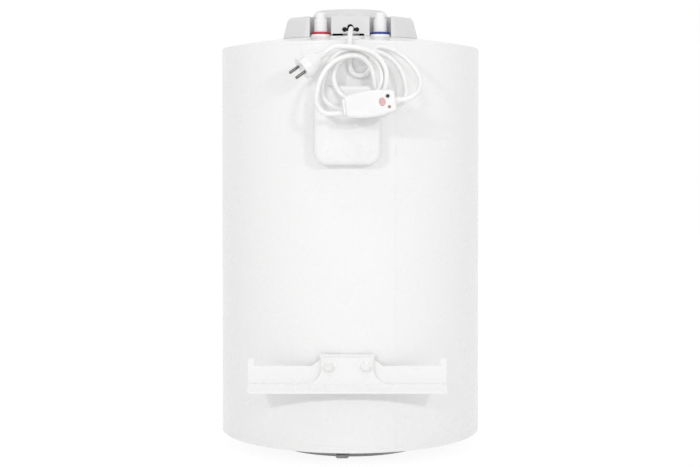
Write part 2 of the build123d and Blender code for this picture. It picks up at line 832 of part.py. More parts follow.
# Thermostat with its probe, and the bore its spindle turns in
with BuildPart() as thermostat:
    with BuildSketch(Plane.XY.offset(flange_top)):
        RectangleRounded(thermostat_width, thermostat_depth, 3)
    extrude(amount=thermostat_height)
    with BuildSketch(Plane.XY.offset(flange_top)):
        with Locations((pocket_x, 0)):
            Circle(probe_radius)
    extrude(amount=-probe_length)
    with BuildSketch(Plane.XY.offset(spindle_foot - clear_gap)):
        Circle(spindle_radius + running_gap)
    extrude(amount=thermostat_height, mode=Mode.SUBTRACT)
thermostat.part.label = "thermostat"
export_step(thermostat.part, "parts/thermostat.step")

spindle_top = knob_top - 4
with BuildPart() as thermostat_spindle:
    with BuildSketch(Plane.XY.offset(spindle_foot)):
        Circle(spindle_radius)
    extrude(amount=spindle_top - spindle_foot)
thermostat_spindle.part.label = "thermostat_spindle"
export_step(thermostat_spindle.part, "parts/thermostat_spindle.step")

# Safety cut-out and the button that resets it
cutout_top_z = flange_top + cutout_height
with BuildPart() as thermal_cutout:
    with BuildSketch(Plane.XY.offset(flange_top)):
        with Locations((cutout_x, 0)):
            RectangleRounded(cutout_width, cutout_depth, 2)
    extrude(amount=cutout_height)
    with BuildSketch(Plane.XY.offset(cutout_top_z)):
        with Locations((cutout_x, 0)):
            Circle(cutout_button_radius + running_gap)
    extrude(amount=-cutout_button_height - cutout_button_travel, mode=Mode.SUBTRACT)
thermal_cutout.part.label = "thermal_cutout"
export_step(thermal_cutout.part, "parts/thermal_cutout.step")

with BuildPart() as cutout_reset_button:
    with BuildSketch(Plane.XY.offset(cutout_top_z - cutout_button_height + clear_gap)):
        with Locations((cutout_x, 0)):
            Circle(cutout_button_radius)
    extrude(amount=cutout_button_height + cutout_button_travel)
    fillet(cutout_reset_button.edges().group_by(Axis.Z)[-1], radius=0.6)
cutout_reset_button.part.label = "cutout_reset_button"
export_step(cutout_reset_button.part, "parts/cutout_reset_button.step")

# Terminal block on its pad, with one well and one screw a way
terminal_top = terminal_pad_top + terminal_height
terminal_step = terminal_width / terminal_ways
terminal_places = [((i - (terminal_ways - 1) / 2) * terminal_step, terminal_y) for i in range(terminal_ways)]
with BuildPart() as terminal_block:
    with BuildSketch(Plane.XY.offset(terminal_pad_top)):
        with Locations((0, terminal_y)):
            Rectangle(terminal_width, terminal_depth)
    extrude(amount=terminal_height)
    with BuildSketch(Plane.XY.offset(terminal_top)):
        with Locations(*terminal_places):
            Circle(terminal_step / 3)
    extrude(amount=-terminal_height / 2, mode=Mode.SUBTRACT)
terminal_block.part.label = "terminal_block"
export_step(terminal_block.part, "parts/terminal_block.step")

with BuildPart() as terminal_screws:
    with BuildSketch(Plane.XY.offset(terminal_top - terminal_height / 2)):
        with Locations(*terminal_places):
            Circle(terminal_step / 3 - fit_gap)
    extrude(amount=3)
    with Locations(*[(x, y, terminal_top - terminal_height / 2 + 3) for x, y in terminal_places]):
        Box(2 * terminal_step, 0.8, 1.2, mode=Mode.SUBTRACT)
terminal_screws.part.label = "terminal_screws"
export_step(terminal_screws.part, "parts/terminal_screws.step")

# Wires from the terminals to the thermostat, the cut-out and the element
wire_height = terminal_pad_top + terminal_height / 4
wire_start = terminal_y - terminal_depth / 2
thermostat_wire_z = flange_top + thermostat_height / 2
wire_routes = [
    [
        (-terminal_step, wire_start, wire_height),
        (-terminal_step, wire_start - 6, wire_height),
        (-terminal_step + 2, wire_start - 14, thermostat_wire_z + 3),
        (-terminal_step + 5, wire_start - 32, thermostat_wire_z + 3),
        (-terminal_step + 12, thermostat_depth / 2 + 6, thermostat_wire_z),
        (-terminal_step + 12, thermostat_depth / 2, thermostat_wire_z),
    ],
    [
        (terminal_step, wire_start, wire_height),
        (terminal_step, wire_start - 6, wire_height),
        (terminal_step + 8, wire_start - 18, thermostat_wire_z + 2),
        (cutout_x - 3, cutout_depth / 2 + 20, thermostat_wire_z + 2),
        (cutout_x, cutout_depth / 2 + 6, thermostat_wire_z),
        (cutout_x, cutout_depth / 2, thermostat_wire_z),
    ],
]
with BuildPart() as internal_wires:
    for route in wire_routes:
        with BuildLine() as wire_path:
            FilletPolyline(*route, radius=2.5)
        with BuildSketch(Plane(origin=route[0], z_dir=(0, -1, 0))):
            Circle(wire_radius)
        sweep(path=wire_path.line)
internal_wires.part.label = "internal_wires"
export_step(internal_wires.part, "parts/internal_wires.step")


def cover_outline(inset):
    """Plan of the electric cover at its base, drawn in by a distance."""
    with BuildSketch(Plane.XY.offset(cover_base)) as outline:
        with BuildLine():
            Polyline(
                (-cover_half_width, cover_side_front),
                (-cover_half_width, cover_side_rear),
                (-cover_flat_half_width, cover_back),
                (cover_flat_half_width, cover_back),
                (cover_half_width, cover_side_rear),
                (cover_half_width, cover_side_front),
            )
            ThreePointArc(
                (cover_half_width, cover_side_front),
                (0, cover_front),
                (-cover_half_width, cover_side_front),
            )
        make_face()
        fillet(outline.vertices(), radius=cover_corner)
        if inset > 0:
            offset(amount=-inset)
    return outline.sketch


def turret_section(inset):
    """Half section of the round turret, drawn in by a distance."""
    with BuildSketch(Plane.XZ) as section:
        with BuildLine():
            Polyline(
                (0, cover_shoulder - 2 * cover_wall),
                (turret_radius - inset, cover_shoulder - 2 * cover_wall),
                (turret_radius - inset, cover_shoulder),
                (turret_radius - turret_lean - inset, turret_wall_top - inset / 2),
                (turret_rim_radius - inset / 2, turret_top - inset),
                (0, turret_top - inset),
                close=True,
            )
        make_face()
    return section.sketch


def cover_block(inset):
    """The electric cover's tapered body with its bevelled shoulder, drawn in by a distance."""
    with BuildPart() as block:
        bevel_foot = cover_shoulder - cover_bevel - inset / 3
        extrude(cover_outline(inset), amount=bevel_foot - cover_base, taper=cover_draft)
        top_face = block.faces().sort_by(Axis.Z)[-1]
        extrude(top_face, amount=cover_shoulder - inset - bevel_foot, taper=cover_bevel_draft)
    return block.part


# Room inside the cover, clear of the pipe notches and of the knob well
with BuildPart() as cover_room:
    add(cover_block(cover_wall))
    revolve(turret_section(cover_wall), axis=Axis.Z)
    with BuildSketch(Plane.XY.offset(cover_base)):
        with Locations(hot_pipe, cold_pipe):
            Circle(notch_radius + cover_wall)
        with Locations(*[(x, y - 2 * notch_radius) for x, y in (hot_pipe, cold_pipe)]):
            Rectangle(2 * (notch_radius + cover_wall), 4 * notch_radius)
    extrude(amount=turret_top - cover_base, mode=Mode.SUBTRACT)
    with BuildSketch(Plane.XY.offset(well_floor - cover_wall)):
        Circle(well_radius + cover_wall)
    extrude(amount=turret_top - well_floor + cover_wall, mode=Mode.SUBTRACT)

# Electric cover
with BuildPart() as electric_cover:
    add(cover_block(0))
    revolve(turret_section(0), axis=Axis.Z)
    add(cover_room.part, mode=Mode.SUBTRACT)
    with BuildSketch(Plane.XY.offset(cover_base)):
        with Locations(hot_pipe, cold_pipe):
            Circle(notch_radius)
        with Locations(*[(x, y - 2 * notch_radius) for x, y in (hot_pipe, cold_pipe)]):
            Rectangle(2 * notch_radius, 4 * notch_radius)
    extrude(amount=turret_top - cover_base, mode=Mode.SUBTRACT)
    with BuildSketch(Plane.XY.offset(well_floor)):
        Circle(well_radius)
    extrude(amount=turret_top - well_floor, mode=Mode.SUBTRACT)
    with BuildSketch(Plane.XY.offset(well_floor - cover_wall)):
        Circle(spindle_radius + 1)
        with Locations((lamp_x, lamp_y)):
            Circle(lamp_radius + fit_gap / 2)
        with Locations(*cover_screw_places):
            Circle(cover_screw_radius + fit_gap)
    extrude(amount=2 * (cover_base - well_floor), both=False, mode=Mode.SUBTRACT)
    with BuildSketch(Plane.XY.offset(well_floor)):
        Circle(spindle_radius + 1)
    extrude(amount=-2 * cover_wall, mode=Mode.SUBTRACT)
    # Clover-shaped hole for the cord, and the low gap above the cap's recess
    with BuildSketch(Plane.XZ.offset(-cover_back + cover_wall)):
        with Locations((cord_exit_x, cord_exit_z)):
            Circle(5.5)
        with Locations((cord_exit_x - 1.5, cord_exit_z + 3)):
            Circle(5.2)
        with Locations((cord_exit_x - 11, cord_exit_z - 1)):
            Circle(4.2)
        with Locations((cord_exit_x + 9.5, cord_exit_z - 1)):
            Circle(3.8)
        with Locations((cord_exit_x - 1, cord_exit_z - 1)):
            Rectangle(19, 5.2)
    extrude(amount=-6 * cover_wall, mode=Mode.SUBTRACT)
    with BuildSketch(Plane.XZ.offset(-cover_back + cover_wall)):
        with BuildLine():
            Polyline(
                (rear_centre_x - recess_half_width - 5, cover_base),
                (rear_centre_x - recess_half_width - 5, cutout_top),
                (rear_centre_x + recess_half_width, cutout_top),
                (rear_centre_x + recess_half_width, cover_base),
                close=True,
            )
        make_face()
    extrude(amount=-6 * cover_wall, mode=Mode.SUBTRACT)
    # Small mark in the turret's rim
    with Locations((0, -turret_rim_radius, turret_top)):
        Box(mark_width, 2 * mark_depth, mark_depth / 2, mode=Mode.SUBTRACT)
    add(dome_form.part.moved(Location((0, 0, clear_gap))), mode=Mode.SUBTRACT)
electric_cover.part.label = "electric_cover"
export_step(electric_cover.part, "parts/electric_cover.step")

# Cover screws, sunk in the cover's top face
with BuildPart() as cover_screws:
    with BuildSketch(Plane.XY.offset(cover_shoulder)):
        with Locations(*cover_screw_places):
            Circle(cover_screw_head_radius)
    extrude(amount=2.4)
    fillet(cover_screws.edges().group_by(Axis.Z)[-1], radius=1)
    with BuildSketch(Plane.XY.offset(cover_shoulder)):
        with Locations(*cover_screw_places):
            Circle(cover_screw_radius)
    extrude(amount=-cover_screw_length)
    with Locations(*[(x, y, cover_shoulder + 2.4) for x, y in cover_screw_places]):
        Box(4.4, 1, 2.4, mode=Mode.SUBTRACT)
        Box(1, 4.4, 2.4, mode=Mode.SUBTRACT)
cover_screws.part.label = "cover_screws"
export_step(cover_screws.part, "parts/cover_screws.step")

# Knob in its well
with BuildPart() as thermostat_knob:
    with BuildSketch(Plane.XY.offset(well_floor + clear_gap)):
        Circle(knob_radius)
    extrude(amount=knob_top - well_floor - clear_gap)
    fillet(thermostat_knob.edges().group_by(Axis.Z)[-1], radius=1.5)
    with BuildSketch(Plane.XY.offset(well_floor + 3)):
        with Locations(*ring_points(knob_grips, knob_radius + knob_grip_radius / 2)):
            Circle(knob_grip_radius)
    extrude(amount=knob_top - well_floor, mode=Mode.SUBTRACT)
    with BuildSketch(Plane.XY.offset(well_floor + clear_gap)):
        Circle(spindle_radius + fit_gap / 2)
    extrude(amount=spindle_top - well_floor, mode=Mode.SUBTRACT)
    with Locations((0, -knob_radius * 0.6, knob_top)):
        Box(pointer_width, knob_radius * 0.6, 1.2, mode=Mode.SUBTRACT)
thermostat_knob.part.label = "thermostat_knob"
export_step(thermostat_knob.part, "parts/thermostat_knob.step")

# Pilot lamp: the lens in the cover and the neon lamp under it
with BuildPart() as pilot_lens:
    with BuildSketch(Plane.XY.offset(cover_shoulder - cover_wall - 1)):
        with Locations((lamp_x, lamp_y)):
            Circle(lamp_radius)
    extrude(amount=cover_wall + 1 + lamp_rise)
    fillet(pilot_lens.edges().group_by(Axis.Z)[-1], radius=1.4)
pilot_lens.part.label = "pilot_lens"
export_step(pilot_lens.part, "parts/pilot_lens.step")

with BuildPart() as pilot_neon:
    with BuildSketch(Plane.XY.offset(cover_shoulder - cover_wall - 1 - clear_gap)):
        with Locations((lamp_x, lamp_y)):
            Circle(neon_radius)
    extrude(amount=-neon_length)
    fillet(pilot_neon.edges().group_by(Axis.Z)[0], radius=2)
pilot_neon.part.label = "pilot_neon"
export_step(pilot_neon.part, "parts/pilot_neon.step")

# Thermometer: can with its bulb, dial, needle, lens and bezel, in the front of the casing
gauge_back = gauge_face - gauge_depth
with BuildPart() as thermometer_can:
    with BuildSketch(front_plane.offset(gauge_back)):
        with Locations((0, gauge_z)):
            Circle(gauge_radius)
    extrude(amount=gauge_depth)
    with BuildSketch(front_plane.offset(gauge_face)):
        with Locations((0, gauge_z)):
            Circle(gauge_radius - casing_wall)
    extrude(amount=-dial_thickness, mode=Mode.SUBTRACT)
    with BuildSketch(front_plane.offset(gauge_back)):
        with Locations((0, gauge_z)):
            Circle(bulb_radius)
    extrude(amount=tank_radius + fit_gap - gauge_back)
    with BuildSketch(front_plane.offset(gauge_face)):
        with Locations((0, gauge_z)):
            Circle(needle_pin_radius + running_gap)
    extrude(amount=-4, mode=Mode.SUBTRACT)
thermometer_can.part.label = "thermometer_can"
export_step(thermometer_can.part, "parts/thermometer_can.step")

with BuildPart() as thermometer_dial:
    with BuildSketch(front_plane.offset(gauge_face)):
        with Locations((0, gauge_z)):
            Circle(gauge_radius - casing_wall - fit_gap / 2)
            Circle(needle_pin_radius + running_gap, mode=Mode.SUBTRACT)
    extrude(amount=-dial_thickness)
    with BuildSketch(front_plane.offset(gauge_face)):
        with Locations((0, gauge_z)):
            with PolarLocations(needle_length + 2, dial_mark_count, 150, 240, endpoint=True):
                Rectangle(4, 0.9)
    extrude(amount=-dial_thickness / 3, mode=Mode.SUBTRACT)
thermometer_dial.part.label = "thermometer_dial"
export_step(thermometer_dial.part, "parts/thermometer_dial.step")

needle_back = gauge_face + clear_gap
needle_rest = 30.0
with BuildPart() as thermometer_needle:
    with BuildSketch(front_plane.offset(needle_back)):
        with Locations((0, gauge_z)):
            Circle(needle_width * 1.3)
        with Locations(Location((0, gauge_z, 0), (0, 0, needle_rest))):
            with Locations((needle_length / 2 - 2, 0)):
                Rectangle(needle_length, needle_width)
    extrude(amount=needle_thickness)
    with BuildSketch(front_plane.offset(needle_back)):
        with Locations((0, gauge_z)):
            Circle(needle_pin_radius)
    extrude(amount=-3.5)
thermometer_needle.part.label = "thermometer_needle"
export_step(thermometer_needle.part, "parts/thermometer_needle.step")

lens_back = needle_back + needle_thickness + 4 * clear_gap
with BuildPart() as thermometer_lens:
    with BuildSketch(front_plane.offset(lens_back)):
        with Locations((0, gauge_z)):
            Circle(lens_radius)
    extrude(amount=lens_thickness)
thermometer_lens.part.label = "thermometer_lens"
export_step(thermometer_lens.part, "parts/thermometer_lens.step")

bezel_front = lens_back + lens_thickness + casing_wall
with BuildPart() as thermometer_bezel:
    with BuildSketch(front_plane.offset(gauge_back)):
        with Locations((0, gauge_z)):
            Circle(bezel_radius)
    extrude(amount=bezel_front - gauge_back)
    fillet(thermometer_bezel.edges().group_by(Axis.Y)[-1], radius=1.5)
    with BuildSketch(front_plane.offset(gauge_back)):
        with Locations((0, gauge_z)):
            Circle(gauge_radius + fit_gap / 2)
    extrude(amount=lens_back - gauge_back, mode=Mode.SUBTRACT)
    with BuildSketch(front_plane.offset(lens_back)):
        with Locations((0, gauge_z)):
            Circle(lens_radius + fit_gap / 2)
    extrude(amount=lens_thickness, mode=Mode.SUBTRACT)
    with BuildSketch(front_plane.offset(lens_back)):
        with Locations((0, gauge_z)):
            Circle(gauge_radius - casing_wall)
    extrude(amount=2 * bezel_rise, mode=Mode.SUBTRACT)
    with BuildSketch(Plane.XY.offset(gauge_z - 2 * bezel_radius)):
        Circle(casing_radius + fit_gap)
    extrude(amount=4 * bezel_radius, mode=Mode.SUBTRACT)
thermometer_bezel.part.label = "thermometer_bezel"
export_step(thermometer_bezel.part, "parts/thermometer_bezel.step")

# Wall bracket
foot_half = bracket_foot_half_width
left_end = rear_centre_x - bracket_half_width
right_end = rear_centre_x + bracket_half_width
swage_reach = lip_face - wing_face + plate_thickness


def swage_outline(inset, reach, drop):
    """The T of the raised foot and strip, seen from the wall, drawn in by a distance."""
    with BuildSketch(Plane.XZ.offset(wing_face - plate_thickness)) as outline:
        with BuildLine():
            Polyline(
                (left_end - reach, lip_low - drop),
                (right_end + reach, lip_low - drop),
                (right_end + reach, crease_height - inset),
                (rear_centre_x + foot_half - inset, crease_height - inset),
                (rear_centre_x + foot_half - inset, foot_top - inset),
                (rear_centre_x - foot_half + inset, foot_top - inset),
                (rear_centre_x - foot_half + inset, crease_height - inset),
                (left_end - reach, crease_height - inset),
                close=True,
            )
        make_face()
        inner_corners = outline.vertices().filter_by(
            lambda v: abs(v.Y - crease_height + inset) < 0.01 and abs(v.X - rear_centre_x) < foot_half + 1
        )
        fillet(inner_corners, radius=swage_corner + inset)
    return outline.sketch


def front_of_swage(setback):
    """Everything on the wall side of the raised face, which slopes out to the lip."""
    with BuildPart() as front:
        with BuildSketch(Plane.YZ.offset(left_end - bracket_half_width)):
            with BuildLine():
                Polyline(
                    (-foot_face + setback, plate_top + bracket_half_width),
                    (-foot_face + setback, crease_height),
                    (-lip_face + setback, lip_high),
                    (-lip_face + setback, lip_low - bracket_half_width),
                    (-lip_face - bracket_half_width, lip_low - bracket_half_width),
                    (-lip_face - bracket_half_width, plate_top + bracket_half_width),
                    close=True,
                )
            make_face()
        extrude(amount=4 * bracket_half_width)
    return front.part


with BuildPart() as swage_room:
    extrude(swage_outline(plate_thickness, bracket_half_width, bracket_half_width), amount=swage_reach)
    add(front_of_swage(plate_thickness), mode=Mode.SUBTRACT)

with BuildPart() as wall_bracket:
    with BuildSketch(Plane.XZ.offset(wing_face - plate_thickness)):
        with BuildLine():
            Polyline(
                (left_end, crease_height - plate_thickness),
                (left_end, ear_top),
                (left_end + ear_width, ear_top),
                (left_end + ear_width, wing_top),
                (rear_centre_x - shoulder_half_width, wing_top),
                (rear_centre_x - foot_half - plate_thickness, shoulder_top),
                (rear_centre_x - foot_half - plate_thickness, plate_top),
                (rear_centre_x + foot_half + plate_thickness, plate_top),
                (rear_centre_x + foot_half + plate_thickness, shoulder_top),
                (rear_centre_x + shoulder_half_width, wing_top),
                (right_end - ear_width, wing_top),
                (right_end - ear_width, ear_top),
                (right_end, ear_top),
                (right_end, crease_height - plate_thickness),
                close=True,
            )
        make_face()
    extrude(amount=plate_thickness)
    extrude(swage_outline(0, 0, 0), amount=swage_reach)
    add(front_of_swage(0), mode=Mode.SUBTRACT)
    add(swage_room.part, mode=Mode.SUBTRACT)
    lip_corners = (
        wall_bracket.edges()
        .filter_by(Axis.Y)
        .group_by(Axis.Z)[0]
    )
    fillet(lip_corners, radius=plate_thickness)
    with BuildSketch(Plane.XZ.offset(foot_face)):
        with Locations(*bolt_places):
            Circle(bolt_radius + clear_gap)
    extrude(amount=-2 * plate_thickness, mode=Mode.SUBTRACT)
wall_bracket.part.label = "wall_bracket"
export_step(wall_bracket.part, "parts/wall_bracket.step")

# Anchors welded to the tank: the bracket's foot stands on them
with BuildPart() as bracket_anchors:
    with BuildSketch(Plane.XZ.offset(foot_face - plate_thickness)):
        with Locations(*bolt_places):
            Circle(anchor_radius)
    extrude(amount=tank_radius - foot_face - anchor_radius)
    with BuildSketch(Plane.XY.offset(bolt_z - 2 * anchor_radius)):
        Circle(tank_radius + fit_gap)
    extrude(amount=4 * anchor_radius, mode=Mode.SUBTRACT)
    with BuildSketch(Plane.XZ.offset(foot_face)):
        with Locations(*bolt_places):
            Circle(bolt_radius + fit_gap / 2)
    extrude(amount=-bolt_length, mode=Mode.SUBTRACT)
bracket_anchors.part.label = "bracket_anchors"
export_step(bracket_anchors.part, "parts/bracket_anchors.step")

with BuildPart() as bracket_washers:
    with BuildSketch(Plane.XZ.offset(foot_face)):
        with Locations(*bolt_places):
            Circle(washer_radius)
            Circle(bolt_radius + clear_gap, mode=Mode.SUBTRACT)
    extrude(amount=washer_thickness)
bracket_washers.part.label = "bracket_washers"
export_step(bracket_washers.part, "parts/bracket_washers.step")

with BuildPart() as bracket_bolts:
    with BuildSketch(Plane.XZ.offset(foot_face + washer_thickness)):
        with Locations(*bolt_places):
            RegularPolygon(bolt_flats / 2, 6, major_radius=False)
    extrude(amount=bolt_head)
    chamfer(bracket_bolts.edges().group_by(Axis.Y)[0], length=0.7)
    with BuildSketch(Plane.XZ.offset(foot_face + washer_thickness)):
        with Locations(*bolt_places):
            Circle(bolt_radius)
    extrude(amount=-bolt_length)
bracket_bolts.part.label = "bracket_bolts"
export_step(bracket_bolts.part, "parts/bracket_bolts.step")

# Wall spacer: a hollow pad with a rounded face, seated on the curve of the casing
spacer_seat = casing_radius - spacer_half_width


def spacer_outline(inset):
    """Rounded rectangle of the spacer at the casing, drawn in by a distance."""
    with BuildSketch(Plane.XZ.offset(spacer_seat)) as outline:
        with Locations((rear_centre_x, spacer_z)):
            RectangleRounded(
                2 * (spacer_half_width - inset),
                2 * (spacer_half_height - inset),
                spacer_corner - inset,
            )
    return outline.sketch


with BuildPart() as wall_spacer:
    extrude(spacer_outline(0), amount=spacer_face - spacer_seat, taper=spacer_draft)
    fillet(wall_spacer.edges().group_by(Axis.Y)[0], radius=spacer_round)
    with BuildPart(mode=Mode.PRIVATE) as spacer_room:
        extrude(
            spacer_outline(spacer_wall),
            amount=spacer_face - spacer_wall - spacer_seat,
            taper=spacer_draft,
        )
        fillet(spacer_room.edges().group_by(Axis.Y)[0], radius=spacer_round - spacer_wall)
        with BuildSketch(Plane.XZ.offset(spacer_seat)):
            with Locations(*spacer_screw_places):
                Circle(spacer_pillar_radius)
        extrude(amount=spacer_face - spacer_seat, mode=Mode.SUBTRACT)
    add(spacer_room.part, mode=Mode.SUBTRACT)
    with BuildSketch(Plane.XY.offset(spacer_z - 2 * spacer_half_height)):
        Circle(casing_radius + fit_gap)
    extrude(amount=4 * spacer_half_height, mode=Mode.SUBTRACT)
    with BuildSketch(Plane.XZ.offset(spacer_face)):
        with Locations(*spacer_screw_places):
            Circle(spacer_screw_head_radius + fit_gap)
    extrude(amount=-3, mode=Mode.SUBTRACT)
    with BuildSketch(Plane.XZ.offset(spacer_face)):
        with Locations(*spacer_screw_places):
            Circle(spacer_screw_radius + fit_gap)
    extrude(amount=-spacer_screw_length, mode=Mode.SUBTRACT)
wall_spacer.part.label = "wall_spacer"
export_step(wall_spacer.part, "parts/wall_spacer.step")

with BuildPart() as spacer_screws:
    with BuildSketch(Plane.XZ.offset(spacer_face - 3)):
        with Locations(*spacer_screw_places):
            Circle(spacer_screw_head_radius)
    extrude(amount=2.4)
    with BuildSketch(Plane.XZ.offset(spacer_face - 3)):
        with Locations(*spacer_screw_places):
            Circle(spacer_screw_radius)
    extrude(amount=4 - spacer_screw_length)
    with Locations(*[(x, -spacer_face + 0.6, z) for x, z in spacer_screw_places]):
        Box(4.4, 2, 1, mode=Mode.SUBTRACT)
        Box(1, 2, 4.4, mode=Mode.SUBTRACT)
spacer_screws.part.label = "spacer_screws"
export_step(spacer_screws.part, "parts/spacer_screws.step")


# The in-line safety switch is built on a plane tilted with it: x runs along it, y up, z towards the viewer
tilt_turn = math.radians(switch_tilt)
switch_plane = Plane(
    origin=(switch_x, -switch_back, switch_z),
    x_dir=(math.cos(tilt_turn), 0, math.sin(tilt_turn)),
    z_dir=(0, -1, 0),
)
plug_side = plug_axis.cross(plug_pin_lean).normalized()
plug_plane = Plane(origin=plug_face, x_dir=plug_side.cross(plug_axis), z_dir=plug_axis)


def switch_point(x, y, height=switch_depth / 2):
    """A place on the safety switch, given in its own plane."""
    return switch_plane.from_local_coords(Vector(x, y, height))


def fillet_radii(points):
    """One bend radius for each inner corner, as large as the two runs beside it allow."""
    radii = []
    for before, here, after in zip(points, points[1:], points[2:]):
        run_in = Vector(here) - Vector(before)
        run_out = Vector(after) - Vector(here)
        half_turn = math.radians(run_in.get_angle(run_out)) / 2
        radii.append(0.45 * min(run_in.length, run_out.length) / math.tan(half_turn))
    return radii


# Supply cord: from the clamp out of the cover, over the rim, round a small curl and on to the switch.
# The route gives x, how far each point lies outside the casing's radius, and its height over the rim.
supply_end = switch_point(switch_half_length + sleeve_length, 0)
supply_route = [
    (1, -53, 23),
    (0, -19, 14.5),
    (-1, 11, 1),
    (-2, 6.5, -27),
    (1, 6, -57),
    (32, 6, -57),
    (33, 6, -11),
    (62, 7, -12),
    (88, 12, -28),
    (106, 21, -50.5),
    (113, 37, -73),
]
supply_points = [(cord_exit_x, clamp_front - 6, cord_exit_z), (cord_exit_x, cover_back - 3.5, cord_exit_z)]
supply_points += [(x, -casing_radius - out, rim_high + up) for x, out, up in supply_route]
supply_points += [tuple(supply_end + switch_plane.x_dir * 22), tuple(supply_end)]
supply_radii = fillet_radii(supply_points)
with BuildPart() as supply_cord:
    with BuildLine() as supply_path:
        FilletPolyline(*supply_points, radius=supply_radii)
    with BuildSketch(Plane(origin=supply_points[0], z_dir=(0, -1, 0))):
        Circle(cord_radius)
    supply_wire = supply_path.wire()
    sweep(path=supply_wire)
supply_cord.part.label = "supply_cord"
export_step(supply_cord.part, "parts/supply_cord.step")

# Plug cord: from the switch through three loose loops to the plug. Each knot gives x, the distance outside
# the casing's radius, the height over the rim, and the way the cord heads, as an angle from +X towards +Z.
# Two tangent arcs join each knot to the next.
plug_cord_knots = [
    (-54, 47, -92, 90),
    (4, 32, -25, 0),
    (37.5, 29.5, -61, 270),
    (63, 28.5, -110, 0),
    (90, 20, -81, 90),
    (30, 17.5, -16.5, 180),
    (-28, 27, -58, 270),
    (14, 38.5, -101, 0),
    (51, 37.5, -61, 90),
    (0, 26.2, -14, 180),
    (-46, 29, -85, 270),
    (7, 43, -116, 0),
    (59, 42.5, -61, 90),
    (8, 38, -14, 180),
]
plug_cord_start = switch_point(-switch_half_length - collar_length, -left_lead_drop)
plug_cord_end = plug_face - plug_axis * (plug_body_length + plug_relief_length)
knots = [(plug_cord_start, switch_plane.x_dir * -1)]
for x, out, up, heading in plug_cord_knots:
    turn = math.radians(heading)
    place = Vector(x, -casing_radius - out, rim_high + up)
    knots.append((place, Vector(math.cos(turn), 0, math.sin(turn))))
knots.append((plug_cord_end, plug_axis))
arc_radii = []
with BuildPart() as plug_cord:
    with BuildLine() as plug_cord_path:
        for (start, start_way), (end, end_way) in zip(knots, knots[1:]):
            span = end - start
            ways = start_way + end_way
            spread = 2 * (1 - start_way.dot(end_way))
            along = span.dot(ways)
            reach = (math.sqrt(along**2 + spread * span.dot(span)) - along) / spread
            meeting = (start + start_way * reach + end - end_way * reach) * 0.5
            meeting_way = (end - end_way * reach) - (start + start_way * reach)
            first = TangentArc(start, meeting, tangent=start_way)
            second = TangentArc(meeting, end, tangent=meeting_way)
            arc_radii += [first.radius, second.radius]
    with BuildSketch(Plane(origin=plug_cord_start, z_dir=switch_plane.x_dir * -1)):
        Circle(cord_radius)
    plug_cord_wire = plug_cord_path.wire()
    sweep(path=plug_cord_wire)
plug_cord.part.label = "plug_cord"
export_step(plug_cord.part, "parts/plug_cord.step")

# Check figures for the two cords: bend radii, volumes, and the least gap between strands
cord_section = math.pi * cord_radius**2
print("supply cord radii", [round(r, 1) for r in supply_radii])
print("supply cord volume", round(supply_cord.part.volume), "section by length",
      round(cord_section * supply_wire.length))
print("plug cord radii", [round(r, 1) for r in arc_radii])
print("plug cord volume", round(plug_cord.part.volume), "section by length",
      round(cord_section * plug_cord_wire.length))
sample_step = 4.0
plug_cord_length = plug_cord_wire.length
sample_count = int(plug_cord_length / sample_step)
samples = [plug_cord_wire.position_at(i / sample_count) for i in range(sample_count + 1)]
near_strands = int(8 * cord_radius / sample_step)
least = min(
    (samples[i] - samples[j]).length
    for i in range(len(samples))
    for j in range(i + near_strands, len(samples))
)
print("plug cord length", round(plug_cord_length), "least gap to itself", round(least - 2 * cord_radius, 2))

# Cord clamp on its pad inside the cover, with two screws
clamp_depth = clamp_front - clamp_back
clamp_screw_places = [(cord_exit_x + s * clamp_screw_x, (clamp_front + clamp_back) / 2) for s in (-1, 1)]
with BuildPart() as cord_clamp:
    with Locations((cord_exit_x, (clamp_front + clamp_back) / 2, cord_exit_z)):
        Box(2 * clamp_half_width, clamp_depth, 2 * clamp_half_height)
    fillet(cord_clamp.edges().filter_by(Axis.Y).group_by(Axis.Z)[-1], radius=3)
    with BuildSketch(Plane.XZ.offset(-clamp_front)):
        with Locations((cord_exit_x, cord_exit_z)):
            Circle(cord_radius)
    extrude(amount=clamp_depth, mode=Mode.SUBTRACT)
    with BuildSketch(Plane.XY.offset(clamp_foot)):
        with Locations(*clamp_screw_places):
            Circle(clamp_screw_radius + fit_gap / 2)
    extrude(amount=3 * clamp_half_height, mode=Mode.SUBTRACT)
cord_clamp.part.label = "cord_clamp"
export_step(cord_clamp.part, "parts/cord_clamp.step")

with BuildPart() as clamp_screws:
    with BuildSketch(Plane.XY.offset(cord_exit_z + clamp_half_height)):
        with Locations(*clamp_screw_places):
            Circle(clamp_screw_head_radius)
    extrude(amount=1.8)
    with BuildSketch(Plane.XY.offset(cord_exit_z + clamp_half_height)):
        with Locations(*clamp_screw_places):
            Circle(clamp_screw_radius)
    extrude(amount=-2 * clamp_half_height + 1)
clamp_screws.part.label = "clamp_screws"
export_step(clamp_screws.part, "parts/clamp_screws.step")


def switch_outline(height, inset):
    """The bowed outline of the safety switch at a height above its back, drawn in by a distance."""
    half_length = switch_half_length - inset
    end_height = switch_end_half_height - inset
    mid_height = switch_mid_half_height - inset
    with BuildSketch(switch_plane.offset(height)) as outline:
        with BuildLine():
            ThreePointArc((-half_length, end_height), (0, mid_height), (half_length, end_height))
            Line((half_length, end_height), (half_length, -end_height))
            ThreePointArc((half_length, -end_height), (0, -mid_height), (-half_length, -end_height))
            Line((-half_length, -end_height), (-half_length, end_height))
        make_face()
        fillet(outline.vertices(), radius=switch_corner - inset)
    return outline.sketch


